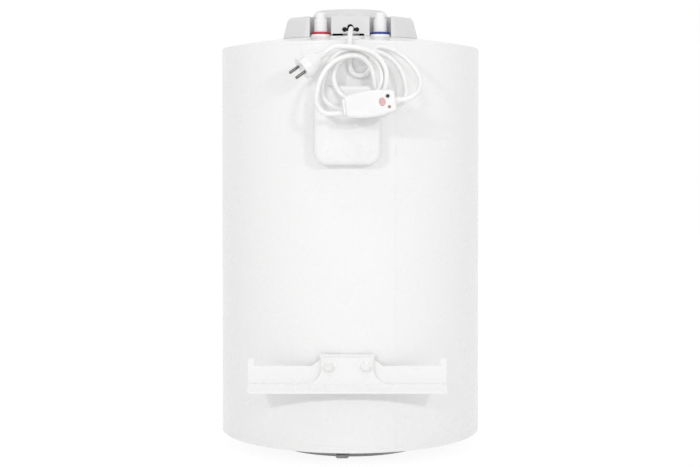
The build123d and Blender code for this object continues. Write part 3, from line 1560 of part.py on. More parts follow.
# Shells of the safety switch
with BuildPart() as switch_back_shell:
    extrude(switch_outline(0, 0), amount=switch_split)
    fillet(switch_back_shell.edges().group_by(Axis.Y)[-1], radius=switch_round / 2)
    extrude(switch_outline(switch_wall, switch_wall), amount=switch_split, mode=Mode.SUBTRACT)
switch_back_shell.part.label = "switch_back_shell"
export_step(switch_back_shell.part, "parts/switch_back_shell.step")

front_face = switch_depth
with BuildPart() as switch_front_shell:
    extrude(switch_outline(switch_split, 0), amount=front_face - switch_split)
    fillet(switch_front_shell.edges().group_by(Axis.Y)[0], radius=switch_round)
    extrude(
        switch_outline(switch_split, switch_wall),
        amount=front_face - switch_wall - switch_split,
        mode=Mode.SUBTRACT,
    )
    with BuildSketch(switch_plane.offset(front_face)):
        with Locations((test_button_x, test_button_y)):
            Ellipse(test_button_width / 2 + clear_gap, test_button_length / 2 + clear_gap)
        with Locations((reset_button_x, reset_button_y)):
            Circle(reset_button_radius + clear_gap)
        with Locations((status_lens_x, status_lens_y)):
            Circle(status_lens_radius + fit_gap / 2)
    extrude(amount=-2 * switch_wall, mode=Mode.SUBTRACT)
switch_front_shell.part.label = "switch_front_shell"
export_step(switch_front_shell.part, "parts/switch_front_shell.step")

# Collar at the left end and tapered sleeve at the right end, where the cords enter
with BuildPart() as switch_sleeves:
    left_end_plane = Plane(
        origin=switch_point(-switch_half_length, 0),
        x_dir=(0, -1, 0),
        z_dir=switch_plane.x_dir * -1,
    )
    with BuildSketch(left_end_plane):
        RectangleRounded(2 * collar_half_depth, 2 * collar_half_height, collar_half_depth / 2)
    extrude(amount=collar_length)
    fillet(switch_sleeves.edges().group_by(Axis.X)[0], radius=1.2)
    right_end_plane = Plane(origin=switch_point(switch_half_length, 0), z_dir=switch_plane.x_dir)
    with BuildSketch(right_end_plane):
        Circle(sleeve_root_radius)
    extrude(amount=sleeve_length, taper=sleeve_draft)
switch_sleeves.part.label = "switch_sleeves"
export_step(switch_sleeves.part, "parts/switch_sleeves.step")

# Buttons and status lens
with BuildPart() as test_button:
    with BuildSketch(switch_plane.offset(front_face + button_rise)):
        with Locations((test_button_x, test_button_y)):
            Ellipse(test_button_width / 2, test_button_length / 2)
    extrude(amount=-button_depth)
    fillet(test_button.edges().group_by(Axis.Y)[0], radius=0.8)
test_button.part.label = "test_button"
export_step(test_button.part, "parts/test_button.step")

with BuildPart() as reset_button:
    with BuildSketch(switch_plane.offset(front_face + button_rise)):
        with Locations((reset_button_x, reset_button_y)):
            Circle(reset_button_radius)
    extrude(amount=-button_depth)
    fillet(reset_button.edges().group_by(Axis.Y)[0], radius=0.6)
reset_button.part.label = "reset_button"
export_step(reset_button.part, "parts/reset_button.step")

with BuildPart() as status_lens:
    with BuildSketch(switch_plane.offset(front_face + clear_gap)):
        with Locations((status_lens_x, status_lens_y)):
            Circle(status_lens_radius)
    extrude(amount=-switch_wall - clear_gap)
    fillet(status_lens.edges().group_by(Axis.Y)[0], radius=clear_gap)
status_lens.part.label = "status_lens"
export_step(status_lens.part, "parts/status_lens.step")

# Circuit board with its relay inside the safety switch
with BuildPart() as switch_board:
    with BuildSketch(switch_plane.offset(board_height)):
        Rectangle(board_length, board_width)
    extrude(amount=board_thickness)
    with BuildSketch(switch_plane.offset(switch_wall)):
        with GridLocations(board_length - 6, board_width - 6, 2, 2):
            Circle(2)
    extrude(amount=board_height - switch_wall)
switch_board.part.label = "switch_board"
export_step(switch_board.part, "parts/switch_board.step")

with BuildPart() as switch_relay:
    with BuildSketch(switch_plane.offset(board_height + board_thickness)):
        with Locations((-board_length / 5, 0)):
            Rectangle(relay_length, relay_width)
    extrude(amount=relay_height)
switch_relay.part.label = "switch_relay"
export_step(switch_relay.part, "parts/switch_relay.step")

# Plug: body, strain relief, two pins and two earth contacts
pin_places = [(-pin_spacing / 2, 0), (pin_spacing / 2, 0)]
with BuildPart() as plug_body:
    with BuildSketch(plug_plane):
        Circle(plug_radius)
    extrude(amount=-plug_front_length)
    with BuildSketch(plug_plane.offset(-plug_front_length)):
        Circle(plug_radius)
    extrude(amount=plug_front_length - plug_body_length, taper=plug_back_draft)
    with BuildSketch(plug_plane):
        with Locations(*pin_places):
            Circle(pin_root_radius + running_gap)
    extrude(amount=-pin_root, mode=Mode.SUBTRACT)
    with BuildSketch(plug_plane):
        for side in (-1, 1):
            with Locations((0, side * plug_radius)):
                Rectangle(earth_width + fit_gap, 2 * earth_depth + fit_gap)
    extrude(amount=-earth_length, mode=Mode.SUBTRACT)
plug_body.part.label = "plug_body"
export_step(plug_body.part, "parts/plug_body.step")

with BuildPart() as plug_relief:
    with BuildSketch(plug_plane.offset(-plug_body_length)):
        Circle(plug_relief_radius)
    extrude(amount=-plug_relief_length, taper=plug_relief_draft)
plug_relief.part.label = "plug_relief"
export_step(plug_relief.part, "parts/plug_relief.step")

with BuildPart() as plug_pins:
    with BuildSketch(plug_plane):
        with Locations(*pin_places):
            Circle(pin_radius)
    extrude(amount=pin_length)
    tips = plug_pins.edges().sort_by(lambda edge: (edge.center() - plug_face).dot(plug_axis))[-2:]
    fillet(tips, radius=pin_tip_round)
    with BuildSketch(plug_plane):
        with Locations(*pin_places):
            Circle(pin_root_radius)
    extrude(amount=-pin_root)
plug_pins.part.label = "plug_pins"
export_step(plug_pins.part, "parts/plug_pins.step")

with BuildPart() as earth_contacts:
    with BuildSketch(plug_plane):
        for side in (-1, 1):
            with Locations((0, side * (plug_radius - earth_depth / 2))):
                Rectangle(earth_width, earth_depth)
    extrude(amount=-earth_length)
earth_contacts.part.label = "earth_contacts"
export_step(earth_contacts.part, "parts/earth_contacts.step")
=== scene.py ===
import math

import bmesh
import bpy
from mathutils import Matrix, Vector


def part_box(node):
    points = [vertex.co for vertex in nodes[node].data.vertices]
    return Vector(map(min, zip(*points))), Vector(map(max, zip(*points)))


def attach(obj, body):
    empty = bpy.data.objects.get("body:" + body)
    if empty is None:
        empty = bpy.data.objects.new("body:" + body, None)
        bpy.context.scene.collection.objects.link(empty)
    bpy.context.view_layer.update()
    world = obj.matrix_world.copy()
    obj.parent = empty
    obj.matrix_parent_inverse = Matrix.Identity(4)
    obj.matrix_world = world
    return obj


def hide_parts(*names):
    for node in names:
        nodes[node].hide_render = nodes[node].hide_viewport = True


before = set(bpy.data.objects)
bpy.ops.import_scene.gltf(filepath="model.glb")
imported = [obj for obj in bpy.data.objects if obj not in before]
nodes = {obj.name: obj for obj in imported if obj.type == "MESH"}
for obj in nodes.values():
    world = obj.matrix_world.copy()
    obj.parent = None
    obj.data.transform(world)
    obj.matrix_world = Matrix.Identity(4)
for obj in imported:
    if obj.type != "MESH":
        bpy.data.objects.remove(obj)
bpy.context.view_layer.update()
scene = bpy.context.scene

# Camera at the photograph's place: facing the wall side from above its middle, with a long lens
camera_data = bpy.data.cameras.new("camera")
camera_data.sensor_width = 36
camera_data.lens = 71.109
camera_data.shift_x = -0.0005
camera_data.shift_y = -0.0771
camera = bpy.data.objects.new("camera", camera_data)
camera.location = (0, -2.4419, 0.50556)
camera.rotation_euler = (math.radians(89), 0, 0)
scene.collection.objects.link(camera)
scene.camera = camera

cord_diameter = 0.008


# Cords: one open NURBS spline each
def cord_curve(name, points):
    curve = bpy.data.curves.new(name, "CURVE")
    curve.dimensions = "3D"
    spline = curve.splines.new("NURBS")
    spline.points.add(len(points) - 1)
    for target, point in zip(spline.points, points):
        target.co = (*point, 1)
    spline.order_u = 3
    spline.use_endpoint_u = True
    spline.resolution_u = 8
    curve.bevel_depth = cord_diameter / 2
    curve.bevel_resolution = 5
    curve.use_fill_caps = True
    piece = bpy.data.objects.new(name, curve)
    scene.collection.objects.link(piece)
    return piece


def millimetres(points):
    return [(x / 1000, y / 1000, z / 1000) for x, y, z in points]


supply_points = [
    (1.5, -100, 717),
    (1.5, -135, 717),
    (1, -172, 713),
    (0, -206, 704.5),
    (-1, -236, 691),
    (-2, -231.5, 663),
    (1, -231, 633),
    (32, -231, 633),
    (33, -231, 679),
    (62, -232, 678),
    (88, -237, 662),
    (106, -246, 639.5),
    (113, -262, 617),
    (99.79, -288, 594.67),
    (77.98, -288, 591.76),
]
supply_cord = cord_curve("supply_cord_line", millimetres(supply_points))

# Each knot of the plug cord's loops: x, y, z and the way it heads, from +X towards +Z
loop_knots = [
    (-54, -272, 598, 90),
    (4, -257, 665, 0),
    (37.5, -254.5, 629, 270),
    (63, -253.5, 580, 0),
    (90, -245, 609, 90),
    (30, -242.5, 673.5, 180),
    (-28, -252, 632, 270),
    (14, -263.5, 589, 0),
    (51, -262.5, 629, 90),
    (0, -251.2, 676, 180),
    (-46, -254, 605, 270),
    (7, -268, 574, 0),
    (59, -267.5, 629, 90),
    (8, -263, 676, 180),
]
plug_points = [
    (-10.46, -288, 571.88),
    (-28, -287.5, 569.5),
    (-43, -284.5, 572),
    (-52.5, -278.5, 583),
]
for (x0, y0, z0, heading), (x1, y1, z1, _) in zip(loop_knots, loop_knots[1:]):
    upright = heading in (90, 270)
    corner_x, corner_z = (x1, z0) if upright else (x0, z1)
    for turn in (0, 30, 60):
        near = math.cos(math.radians(turn))
        far = math.sin(math.radians(turn))
        share = turn / 90
        eased = share * share * (3 - 2 * share)
        x = corner_x + (x0 - corner_x) * near + (x1 - corner_x) * far
        z = corner_z + (z0 - corner_z) * near + (z1 - corner_z) * far
        plug_points.append((x, y0 + (y1 - y0) * eased, z))
plug_points += [
    (8, -263, 676),
    (-6, -261.5, 677),
    (-22, -258, 678.5),
    (-31.5, -257.9, 674),
    (-39.92, -260.46, 667.79),
]
plug_cord = cord_curve("plug_cord_line", millimetres(plug_points))


# Materials, each kept under its slot's name
finishes = {}


def node_tree(name):
    """A new material's tree, its Principled shader and its texture coordinates."""
    material = bpy.data.materials.new(name)
    material.use_nodes = True
    finishes[name] = material
    tree = material.node_tree
    return tree, tree.nodes["Principled BSDF"], tree.nodes.new("ShaderNodeTexCoord")


def noise(tree, place, scale, detail, roughness, stretch=(1, 1, 1), distortion=0.0):
    """Noise in the object's own metres, about 0.3 to 0.7."""
    mapping = tree.nodes.new("ShaderNodeMapping")
    mapping.inputs["Scale"].default_value = stretch
    texture = tree.nodes.new("ShaderNodeTexNoise")
    texture.inputs["Scale"].default_value = scale
    texture.inputs["Detail"].default_value = detail
    texture.inputs["Roughness"].default_value = roughness
    texture.inputs["Distortion"].default_value = distortion
    tree.links.new(place.outputs["Object"], mapping.inputs["Vector"])
    tree.links.new(mapping.outputs["Vector"], texture.inputs["Vector"])
    return texture.outputs["Fac"]


def ramp(tree, value, stops):
    """Colour from a value, through (position, colour) stops."""
    node = tree.nodes.new("ShaderNodeValToRGB")
    node.color_ramp.elements[0].position = stops[0][0]
    node.color_ramp.elements[0].color = (*stops[0][1], 1)
    node.color_ramp.elements[1].position = stops[-1][0]
    node.color_ramp.elements[1].color = (*stops[-1][1], 1)
    for position, colour in stops[1:-1]:
        node.color_ramp.elements.new(position).color = (*colour, 1)
    tree.links.new(value, node.inputs["Fac"])
    return node.outputs["Color"]


def calculate(tree, operation, first, second=None):
    """A Math node's result, where second is another node's output or a plain number."""
    node = tree.nodes.new("ShaderNodeMath")
    node.operation = operation
    tree.links.new(first, node.inputs[0])
    if isinstance(second, (int, float)):
        node.inputs[1].default_value = second
    elif second is not None:
        tree.links.new(second, node.inputs[1])
    return node.outputs["Value"]


def surface_mix(tree, share, first, second):
    """Ends a material in a mix of two shaders, from the first at 0 to the second at 1."""
    mix = tree.nodes.new("ShaderNodeMixShader")
    tree.links.new(share, mix.inputs["Fac"])
    tree.links.new(first, mix.inputs[1])
    tree.links.new(second, mix.inputs[2])
    tree.links.new(mix.outputs["Shader"], tree.nodes["Material Output"].inputs["Surface"])


def spread(tree, value, low, high):
    """Noise of 0.3 to 0.7 spread over low to high."""
    node = tree.nodes.new("ShaderNodeMapRange")
    node.inputs["From Min"].default_value = 0.3
    node.inputs["From Max"].default_value = 0.7
    node.inputs["To Min"].default_value = low
    node.inputs["To Max"].default_value = high
    tree.links.new(value, node.inputs["Value"])
    return node.outputs["Result"]


def bump(tree, shader, layers):
    """Stacks (height output, distance in metres) layers on the shader's normal."""
    normal = None
    for height, distance in layers:
        node = tree.nodes.new("ShaderNodeBump")
        node.inputs["Strength"].default_value = 1.0
        node.inputs["Distance"].default_value = distance
        tree.links.new(height, node.inputs["Height"])
        if normal is not None:
            tree.links.new(normal, node.inputs["Normal"])
        normal = node.outputs["Normal"]
    tree.links.new(normal, shader.inputs["Normal"])


def shade(colour, factor):
    """A colour made lighter or darker, never past white."""
    return tuple(min(1.0, part * factor) for part in colour)


def rolled_lines(tree, place, heights, half_width):
    """1 everywhere, dipping to 0 at each height: the lines that the rolls press near a rim."""
    split = tree.nodes.new("ShaderNodeSeparateXYZ")
    tree.links.new(place.outputs["Object"], split.inputs["Vector"])
    total = None
    for height in heights:
        above = calculate(tree, "SUBTRACT", split.outputs["Z"], height)
        node = tree.nodes.new("ShaderNodeMapRange")
        node.interpolation_type = "SMOOTHSTEP"
        node.inputs["From Min"].default_value = 0
        node.inputs["From Max"].default_value = half_width
        tree.links.new(calculate(tree, "ABSOLUTE", above), node.inputs["Value"])
        dip = node.outputs["Result"]
        total = dip if total is None else calculate(tree, "MULTIPLY", total, dip)
    return total


rolled_line_heights = (0.0315, 0.0355, 0.6845)
rolled_line_half_width = 0.0012


def sheet_enamel(name, colour, roughness, wave):
    """Gloss paint on rolled steel: soft waves, orange peel, and lines rolled near the rims."""
    tree, shader, place = node_tree(name)
    patches = noise(tree, place, 5, 2, 0.4, (1, 1, 0.35))
    tone = ramp(tree, patches, [(0.3, shade(colour, 0.993)), (0.7, colour)])
    tree.links.new(tone, shader.inputs["Base Color"])
    gloss = noise(tree, place, 22, 2, 0.5)
    rough = spread(tree, gloss, roughness * 0.85, roughness * 1.25)
    tree.links.new(rough, shader.inputs["Roughness"])
    shader.inputs["Coat Weight"].default_value = 0.1
    shader.inputs["Coat Roughness"].default_value = 0.08
    sheet = noise(tree, place, 5, 0, 0.4, (1, 1, 0.1))
    peel = noise(tree, place, 420, 1, 0.5)
    lines = rolled_lines(tree, place, rolled_line_heights, rolled_line_half_width)
    bump(tree, shader, [(sheet, wave), (peel, 0.000002), (lines, 0.0002)])


def moulded(name, colour, roughness, grain, grain_scale, variation, coat=0.0, subsurface=0.0):
    """Moulded plastic: fine spark-eroded grain, flow marks, and handling marks in the gloss."""
    tree, shader, place = node_tree(name)
    flow = noise(tree, place, 28, 4, 0.6, distortion=0.6)
    stops = [(0.32, shade(colour, variation)), (0.55, colour), (0.72, shade(colour, 1.015))]
    tone = ramp(tree, flow, stops)
    tree.links.new(tone, shader.inputs["Base Color"])
    gloss = noise(tree, place, 75, 4, 0.65)
    rough = spread(tree, gloss, roughness * 0.82, roughness * 1.2)
    tree.links.new(rough, shader.inputs["Roughness"])
    shader.inputs["Coat Weight"].default_value = coat
    shader.inputs["Coat Roughness"].default_value = 0.1
    if subsurface:
        shader.inputs["Subsurface Weight"].default_value = subsurface
        shader.inputs["Subsurface Radius"].default_value = (0.004, 0.003, 0.003)
        shader.inputs["Subsurface Scale"].default_value = 0.6
    swell = noise(tree, place, 60, 2, 0.5)
    fine_grain = noise(tree, place, grain_scale, 2, 0.5)
    bump(tree, shader, [(swell, grain * 2), (fine_grain, grain)])


def metal(name, colour, roughness, stretch, scale, depth=0.00002, stain=0.85):
    """Bare or plated metal: drawn lines along stretch, dull stains and small dings."""
    tree, shader, place = node_tree(name)
    stains = noise(tree, place, 60, 5, 0.65)
    stops = [(0.3, shade(colour, stain)), (0.52, colour), (0.75, shade(colour, 1.06))]
    tone = ramp(tree, stains, stops)
    tree.links.new(tone, shader.inputs["Base Color"])
    shader.inputs["Metallic"].default_value = 1.0
    lines = noise(tree, place, scale, 4, 0.7, stretch)
    rough = spread(tree, lines, roughness * 0.75, roughness * 1.35)
    tree.links.new(rough, shader.inputs["Roughness"])
    dings = noise(tree, place, 130, 2, 0.5)
    bump(tree, shader, [(lines, depth), (dings, depth * 1.5)])


def speckled(name, colour, fleck, roughness, scale, depth, share=0.62):
    """Two tones in cells or flecks, such as rigid foam, fired enamel or a circuit board."""
    tree, shader, place = node_tree(name)
    cells = tree.nodes.new("ShaderNodeTexVoronoi")
    cells.inputs["Scale"].default_value = scale
    tree.links.new(place.outputs["Object"], cells.inputs["Vector"])
    flecks = noise(tree, place, scale * 0.7, 3, 0.6)
    tone = ramp(tree, flecks, [(share - 0.06, colour), (share, fleck)])
    tree.links.new(tone, shader.inputs["Base Color"])
    gloss = noise(tree, place, scale * 0.3, 3, 0.5)
    rough = spread(tree, gloss, roughness * 0.8, roughness * 1.2)
    tree.links.new(rough, shader.inputs["Roughness"])
    bump(tree, shader, [(cells.outputs["Distance"], depth)])


def clear(name, colour, roughness, transmission):
    """Glass or a clear lens, with faint haze and moulding ripple."""
    tree, shader, place = node_tree(name)
    haze = noise(tree, place, 160, 3, 0.6)
    tone = ramp(tree, haze, [(0.3, shade(colour, 0.94)), (0.7, colour)])
    tree.links.new(tone, shader.inputs["Base Color"])
    rough = spread(tree, haze, roughness * 0.7, roughness * 1.5)
    tree.links.new(rough, shader.inputs["Roughness"])
    shader.inputs["Transmission Weight"].default_value = transmission
    shader.inputs["IOR"].default_value = 1.49
    ripple = noise(tree, place, 90, 2, 0.5)
    bump(tree, shader, [(ripple, 0.00001)])
    # Light passes straight through it to what lies behind
    path = tree.nodes.new("ShaderNodeLightPath").outputs
    light = calculate(tree, "MAXIMUM", path["Is Shadow Ray"], path["Is Diffuse Ray"])
    open_way = tree.nodes.new("ShaderNodeBsdfTransparent")
    surface_mix(tree, light, shader.outputs["BSDF"], open_way.outputs["BSDF"])


sheet_enamel("white_enamel_sheet", (0.87, 0.87, 0.868), 0.27, 0.00025)
moulded("white_cap", (0.87, 0.87, 0.867), 0.3, 0.000012, 1100, 0.985, 0.2)
moulded("cover_plastic", (0.725, 0.725, 0.73), 0.34, 0.00002, 1500, 0.97, 0.1)
moulded("grey_disc", (0.78, 0.78, 0.785), 0.55, 0.00005, 900, 0.86)
speckled("foam", (0.8, 0.72, 0.45), (0.7, 0.6, 0.34), 0.85, 500, 0.0004)
speckled("tank_enamel", (0.03, 0.045, 0.09), (0.3, 0.33, 0.38), 0.22, 900, 0.00003, 0.7)
metal("zinc_steel", (0.86, 0.86, 0.85), 0.36, (1, 1, 1), 300, 0.00002, 0.92)
metal("stainless", (0.68, 0.68, 0.67), 0.28, (1, 1, 0.05), 700)
metal("element_copper", (0.62, 0.33, 0.2), 0.34, (1, 1, 0.2), 400)
metal("magnesium", (0.6, 0.61, 0.62), 0.55, (1, 1, 1), 500, 0.00008, 0.75)
moulded("gasket_rubber", (0.025, 0.025, 0.025), 0.75, 0.00006, 700, 0.8)
moulded("red_plastic", (0.42, 0.012, 0.035), 0.34, 0.00002, 1200, 0.88, 0.15)
moulded("blue_plastic", (0.012, 0.028, 0.22), 0.34, 0.00002, 1200, 0.88, 0.15)
moulded("white_plastic", (0.87, 0.87, 0.87), 0.3, 0.00002, 1300, 0.965, 0.15, 0.05)
moulded("white_cord", (0.88, 0.88, 0.875), 0.38, 0.00003, 800, 0.955, 0.05, 0.08)
moulded("dark_plastic", (0.03, 0.03, 0.033), 0.5, 0.00004, 900, 0.8)
moulded("pink_button", (0.76, 0.45, 0.45), 0.25, 0.00001, 900, 0.9, 0.4, 0.2)
moulded("lens_tint", (0.42, 0.24, 0.21), 0.16, 0.00001, 600, 0.88, 0.5, 0.15)
moulded("lamp_lens", (0.56, 0.05, 0.01), 0.16, 0.00002, 500, 0.9, 0.5, 0.2)
clear("clear_glass", (0.95, 0.97, 0.97), 0.04, 0.95)
moulded("dial_white", (0.86, 0.86, 0.84), 0.6, 0.00001, 1500, 0.97)
speckled("board_green", (0.012, 0.09, 0.035), (0.03, 0.17, 0.07), 0.4, 800, 0.00003)
metal("brass_pin", (0.7, 0.55, 0.27), 0.3, (1, 1, 1), 500)
metal("nickel_pin", (0.2, 0.19, 0.185), 0.32, (1, 1, 1), 600)
moulded("thermostat_plastic", (0.02, 0.02, 0.022), 0.5, 0.00005, 800, 0.8)
moulded("wire_blue", (0.03, 0.07, 0.3), 0.4, 0.00002, 1200, 0.85)

# The nodes that wear each finish
pieces_in = {
    "white_enamel_sheet": ["outer_casing", "wall_bracket"],
    "white_cap": ["closed_end_cap", "connection_end_cap"],
    "cover_plastic": ["electric_cover", "thermostat_knob"],
    "grey_disc": ["end_disc"],
    "foam": ["insulation_foam"],
    "tank_enamel": ["inner_tank"],
    "zinc_steel": [
        "hot_outlet_pipe", "cold_inlet_pipe", "heater_flange", "flange_bolts", "anode_nut",
        "cover_screws", "bracket_anchors", "bracket_washers", "bracket_bolts", "spacer_screws",
        "clamp_screws", "earth_contacts",
    ],
    "stainless": ["hot_standpipe", "probe_pocket", "thermometer_can"],
    "element_copper": ["heating_element"],
    "magnesium": ["magnesium_anode"],
    "gasket_rubber": ["flange_gasket"],
    "red_plastic": ["red_ring", "cutout_reset_button", "thermometer_needle"],
    "blue_plastic": ["blue_ring"],
    "white_plastic": [
        "cold_diffuser", "hot_transport_plug", "cold_transport_plug", "thermostat_spindle",
        "terminal_block", "thermometer_bezel", "wall_spacer", "switch_back_shell",
        "switch_front_shell", "plug_body",
    ],
    "white_cord": ["supply_cord", "plug_cord", "switch_sleeves", "plug_relief"],
    "dark_plastic": ["cord_clamp", "reset_button", "switch_relay"],
    "pink_button": ["test_button"],
    "lens_tint": ["status_lens"],
    "lamp_lens": ["pilot_lens"],
    "clear_glass": ["pilot_neon", "thermometer_lens"],
    "dial_white": ["thermometer_dial"],
    "board_green": ["switch_board"],
    "brass_pin": ["terminal_screws"],
    "nickel_pin": ["plug_pins"],
    "thermostat_plastic": ["thermostat", "thermal_cutout"],
    "wire_blue": ["internal_wires"],
}


def paint(piece, name):
    """Gives a piece one finish alone."""
    piece.data.materials.clear()
    piece.data.materials.append(finishes[name])


for slot_name, members in pieces_in.items():
    for member in members:
        paint(nodes[member], slot_name)


def add_piece(name, mesh, slot_name, body, *replaced):
    """A piece of the scene that rides on a body, in place of the nodes that it replaces."""
    piece = bpy.data.objects.new(name, mesh)
    scene.collection.objects.link(piece)
    paint(piece, slot_name)
    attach(piece, body)
    if replaced:
        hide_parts(*replaced)
    return piece


# Each cord takes the place of its node
for piece, node in ((supply_cord, "supply_cord"), (plug_cord, "plug_cord")):
    paint(piece, "white_cord")
    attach(piece, "heater")
    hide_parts(node)


# Shapes turned about an axis
def centre_of(node):
    low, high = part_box(node)
    return (low + high) / 2


def ring(mesh, centre, height, radius_at, count):
    """A level ring of points, at a radius that may change with the angle."""
    verts = []
    for step in range(count):
        angle = 2 * math.pi * step / count
        radius = radius_at(angle)
        x = centre.x + radius * math.cos(angle)
        y = centre.y + radius * math.sin(angle)
        verts.append(mesh.verts.new((x, y, height)))
    return verts


def constant(radius):
    return lambda angle: radius


def bridge(mesh, rings):
    """Faces between each ring and the next."""
    for first, second in zip(rings, rings[1:]):
        count = len(first)
        for step in range(count):
            after = (step + 1) % count
            mesh.faces.new((first[step], first[after], second[after], second[step]))


def finished(name, mesh, sharp_degrees):
    """The mesh's data, with smooth faces and edges kept sharp past an angle."""
    bmesh.ops.recalc_face_normals(mesh, faces=mesh.faces)
    for face in mesh.faces:
        face.smooth = True
    data = bpy.data.meshes.new(name)
    mesh.to_mesh(data)
    mesh.free()
    data.set_sharp_from_angle(angle=math.radians(sharp_degrees))
    return data


# Water pipes with their real threads, half-inch at 14 to the inch
thread_pitch = 0.001814
thread_crest = 0.010475
thread_root = 0.00935
thread_sides = 72
rows_per_pitch = 9
flank_slope = 2.6
root_flat = 0.15
pipe_shank = 0.0103
pipe_bore = 0.0075
bore_chamfer = 0.0004


def threaded_pipe(name, node):
    """The pipe from its foot to its mouth, threaded above its coloured ring."""
    centre = centre_of(node)
    low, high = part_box(node)
    foot, top = low.z, high.z
    thread_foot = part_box("red_ring")[1].z
    mesh = bmesh.new()

    def outer(height):
        def radius(angle):
            if height < thread_foot:
                return pipe_shank
            phase = ((height - thread_foot) / thread_pitch - angle / (2 * math.pi)) % 1
            tooth = min(1, max(0, flank_slope * abs(phase - 0.5) - root_flat))
            run_in = (height - thread_foot) / (0.8 * thread_pitch)
            run_out = (top - 0.0002 - height) / (0.5 * thread_pitch) + 0.35
            fade = max(0, min(1, run_in, run_out))
            return thread_crest - (thread_crest - thread_root) * (1 - tooth) * fade
        return radius

    heights = [foot, foot + 0.02, thread_foot - 0.0001]
    steps = int((top - thread_foot) / (thread_pitch / rows_per_pitch))
    heights += [thread_foot + (top - 0.0006 - thread_foot) * i / steps for i in range(steps + 1)]
    rings = [ring(mesh, centre, height, outer(height), thread_sides) for height in heights]
    rings += [
        ring(mesh, centre, height, constant(radius), thread_sides)
        for height, radius in (
            (top, thread_root - 0.0001),
            (top, pipe_bore + bore_chamfer),
            (top - bore_chamfer, pipe_bore),
            (foot, pipe_bore),
        )
    ]
    bridge(mesh, rings + rings[:1])
    add_piece(name, finished(name, mesh, 42), "zinc_steel", "heater", node)


threaded_pipe("hot_outlet_thread", "hot_outlet_pipe")
threaded_pipe("cold_inlet_thread", "cold_inlet_pipe")


# Sleeves of the transport plugs, over the threads
sleeve_lift = 0.0004
sleeve_below_plug_top = 0.0108
sleeve_inner = 0.01055
sleeve_outer = 0.01105
sleeve_mouth = 0.0089
sleeve_ribs = 24
sides_per_rib = 6
rib_height = 0.00008


def ribbed(extra):
    """The sleeve's outer radius with its ribs, made larger or smaller by extra."""
    return lambda angle: sleeve_outer + extra + rib_height * max(0, math.cos(sleeve_ribs * angle))


def thread_sleeve(name, plug, ring_node, body):
    """A ribbed white tube over the thread, with a foot and a shoulder."""
    centre = centre_of(plug)
    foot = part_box(ring_node)[1].z + sleeve_lift
    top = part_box(plug)[1].z - sleeve_below_plug_top
    levels = [
        (foot, constant(sleeve_inner)),
        (foot, constant(sleeve_outer + 0.0003)),
        (foot + 0.0004, constant(sleeve_outer + 0.0005)),
        (foot + 0.0014, constant(sleeve_outer + 0.0005)),
        (foot + 0.0018, ribbed(0)),
        (top - 0.003, ribbed(-0.0001)),
        (top - 0.001, constant(sleeve_outer - 0.0001)),
        (top - 0.0003, constant(sleeve_outer - 0.0004)),
        (top, constant(sleeve_outer - 0.001)),
        (top, constant(sleeve_mouth)),
        (top - 0.0005, constant(sleeve_inner - 0.0001)),
    ]
    mesh = bmesh.new()
    count = sleeve_ribs * sides_per_rib
    rings = [ring(mesh, centre, height, radius, count) for height, radius in levels]
    bridge(mesh, rings + rings[:1])
    add_piece(name, finished(name, mesh, 50), "white_plastic", body)


thread_sleeve("hot_thread_sleeve", "hot_transport_plug", "red_ring", "hot_plug")
thread_sleeve("cold_thread_sleeve", "cold_transport_plug", "blue_ring", "cold_plug")


# The dial's scale, read with the heater hung pipes down: 3 degrees of turn for each degree shown
zero_angle = 210
turn_per_degree = 3
unit_angle = 270
number_radius = 0.0145
unit_radius = 0.012
number_size = 0.0042
print_thickness = 0.00004
print_height = 0.00006


def dial_numbers():
    """Plain numbers printed on the thermometer's dial."""
    centre = centre_of("thermometer_dial")
    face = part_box("thermometer_dial")[1].y
    upright = Matrix(((1, 0, 0), (0, 0, 1), (0, -1, 0)))
    parts = bmesh.new()
    words = [
        (str(value), zero_angle - turn_per_degree * value, number_radius)
        for value in (0, 20, 40, 60, 80)
    ]
    words.append(("\u00b0C", unit_angle, unit_radius))
    for word, angle, radius in words:
        text = bpy.data.curves.new("number", "FONT")
        text.body = word
        text.size = number_size
        text.align_x = "CENTER"
        text.align_y = "CENTER"
        text.extrude = print_thickness
        carrier = bpy.data.objects.new("number", text)
        scene.collection.objects.link(carrier)
        bpy.context.view_layer.update()
        solid = carrier.evaluated_get(bpy.context.evaluated_depsgraph_get())
        shape = bpy.data.meshes.new_from_object(solid)
        place_at = Vector((
            centre.x + radius * math.cos(math.radians(angle)),
            face + print_height,
            centre.z - radius * math.sin(math.radians(angle)),
        ))
        shape.transform(Matrix.Translation(place_at) @ upright.to_4x4())
        parts.from_mesh(shape)
        bpy.data.objects.remove(carrier)
        bpy.data.curves.remove(text)
        bpy.data.meshes.remove(shape)
    data = bpy.data.meshes.new("dial_numbers")
    parts.to_mesh(data)
    parts.free()
    add_piece("dial_numbers", data, "dark_plastic", "heater")


dial_numbers()


# The plug lies with its face at plug_face, which looks along plug_axis
plug_axis = Vector((-0.78, -0.24, -0.578)).normalized()
plug_face = Vector((-0.0758, -0.2715, 0.6412))
plug_depth = 0.0318
relief_length = 0.0142
relief_foot_radius = 0.00845
relief_taper_degrees = 12
relief_groove_depth = 0.0007
relief_grooves = 4.5
relief_steps = 70
relief_sides = 40


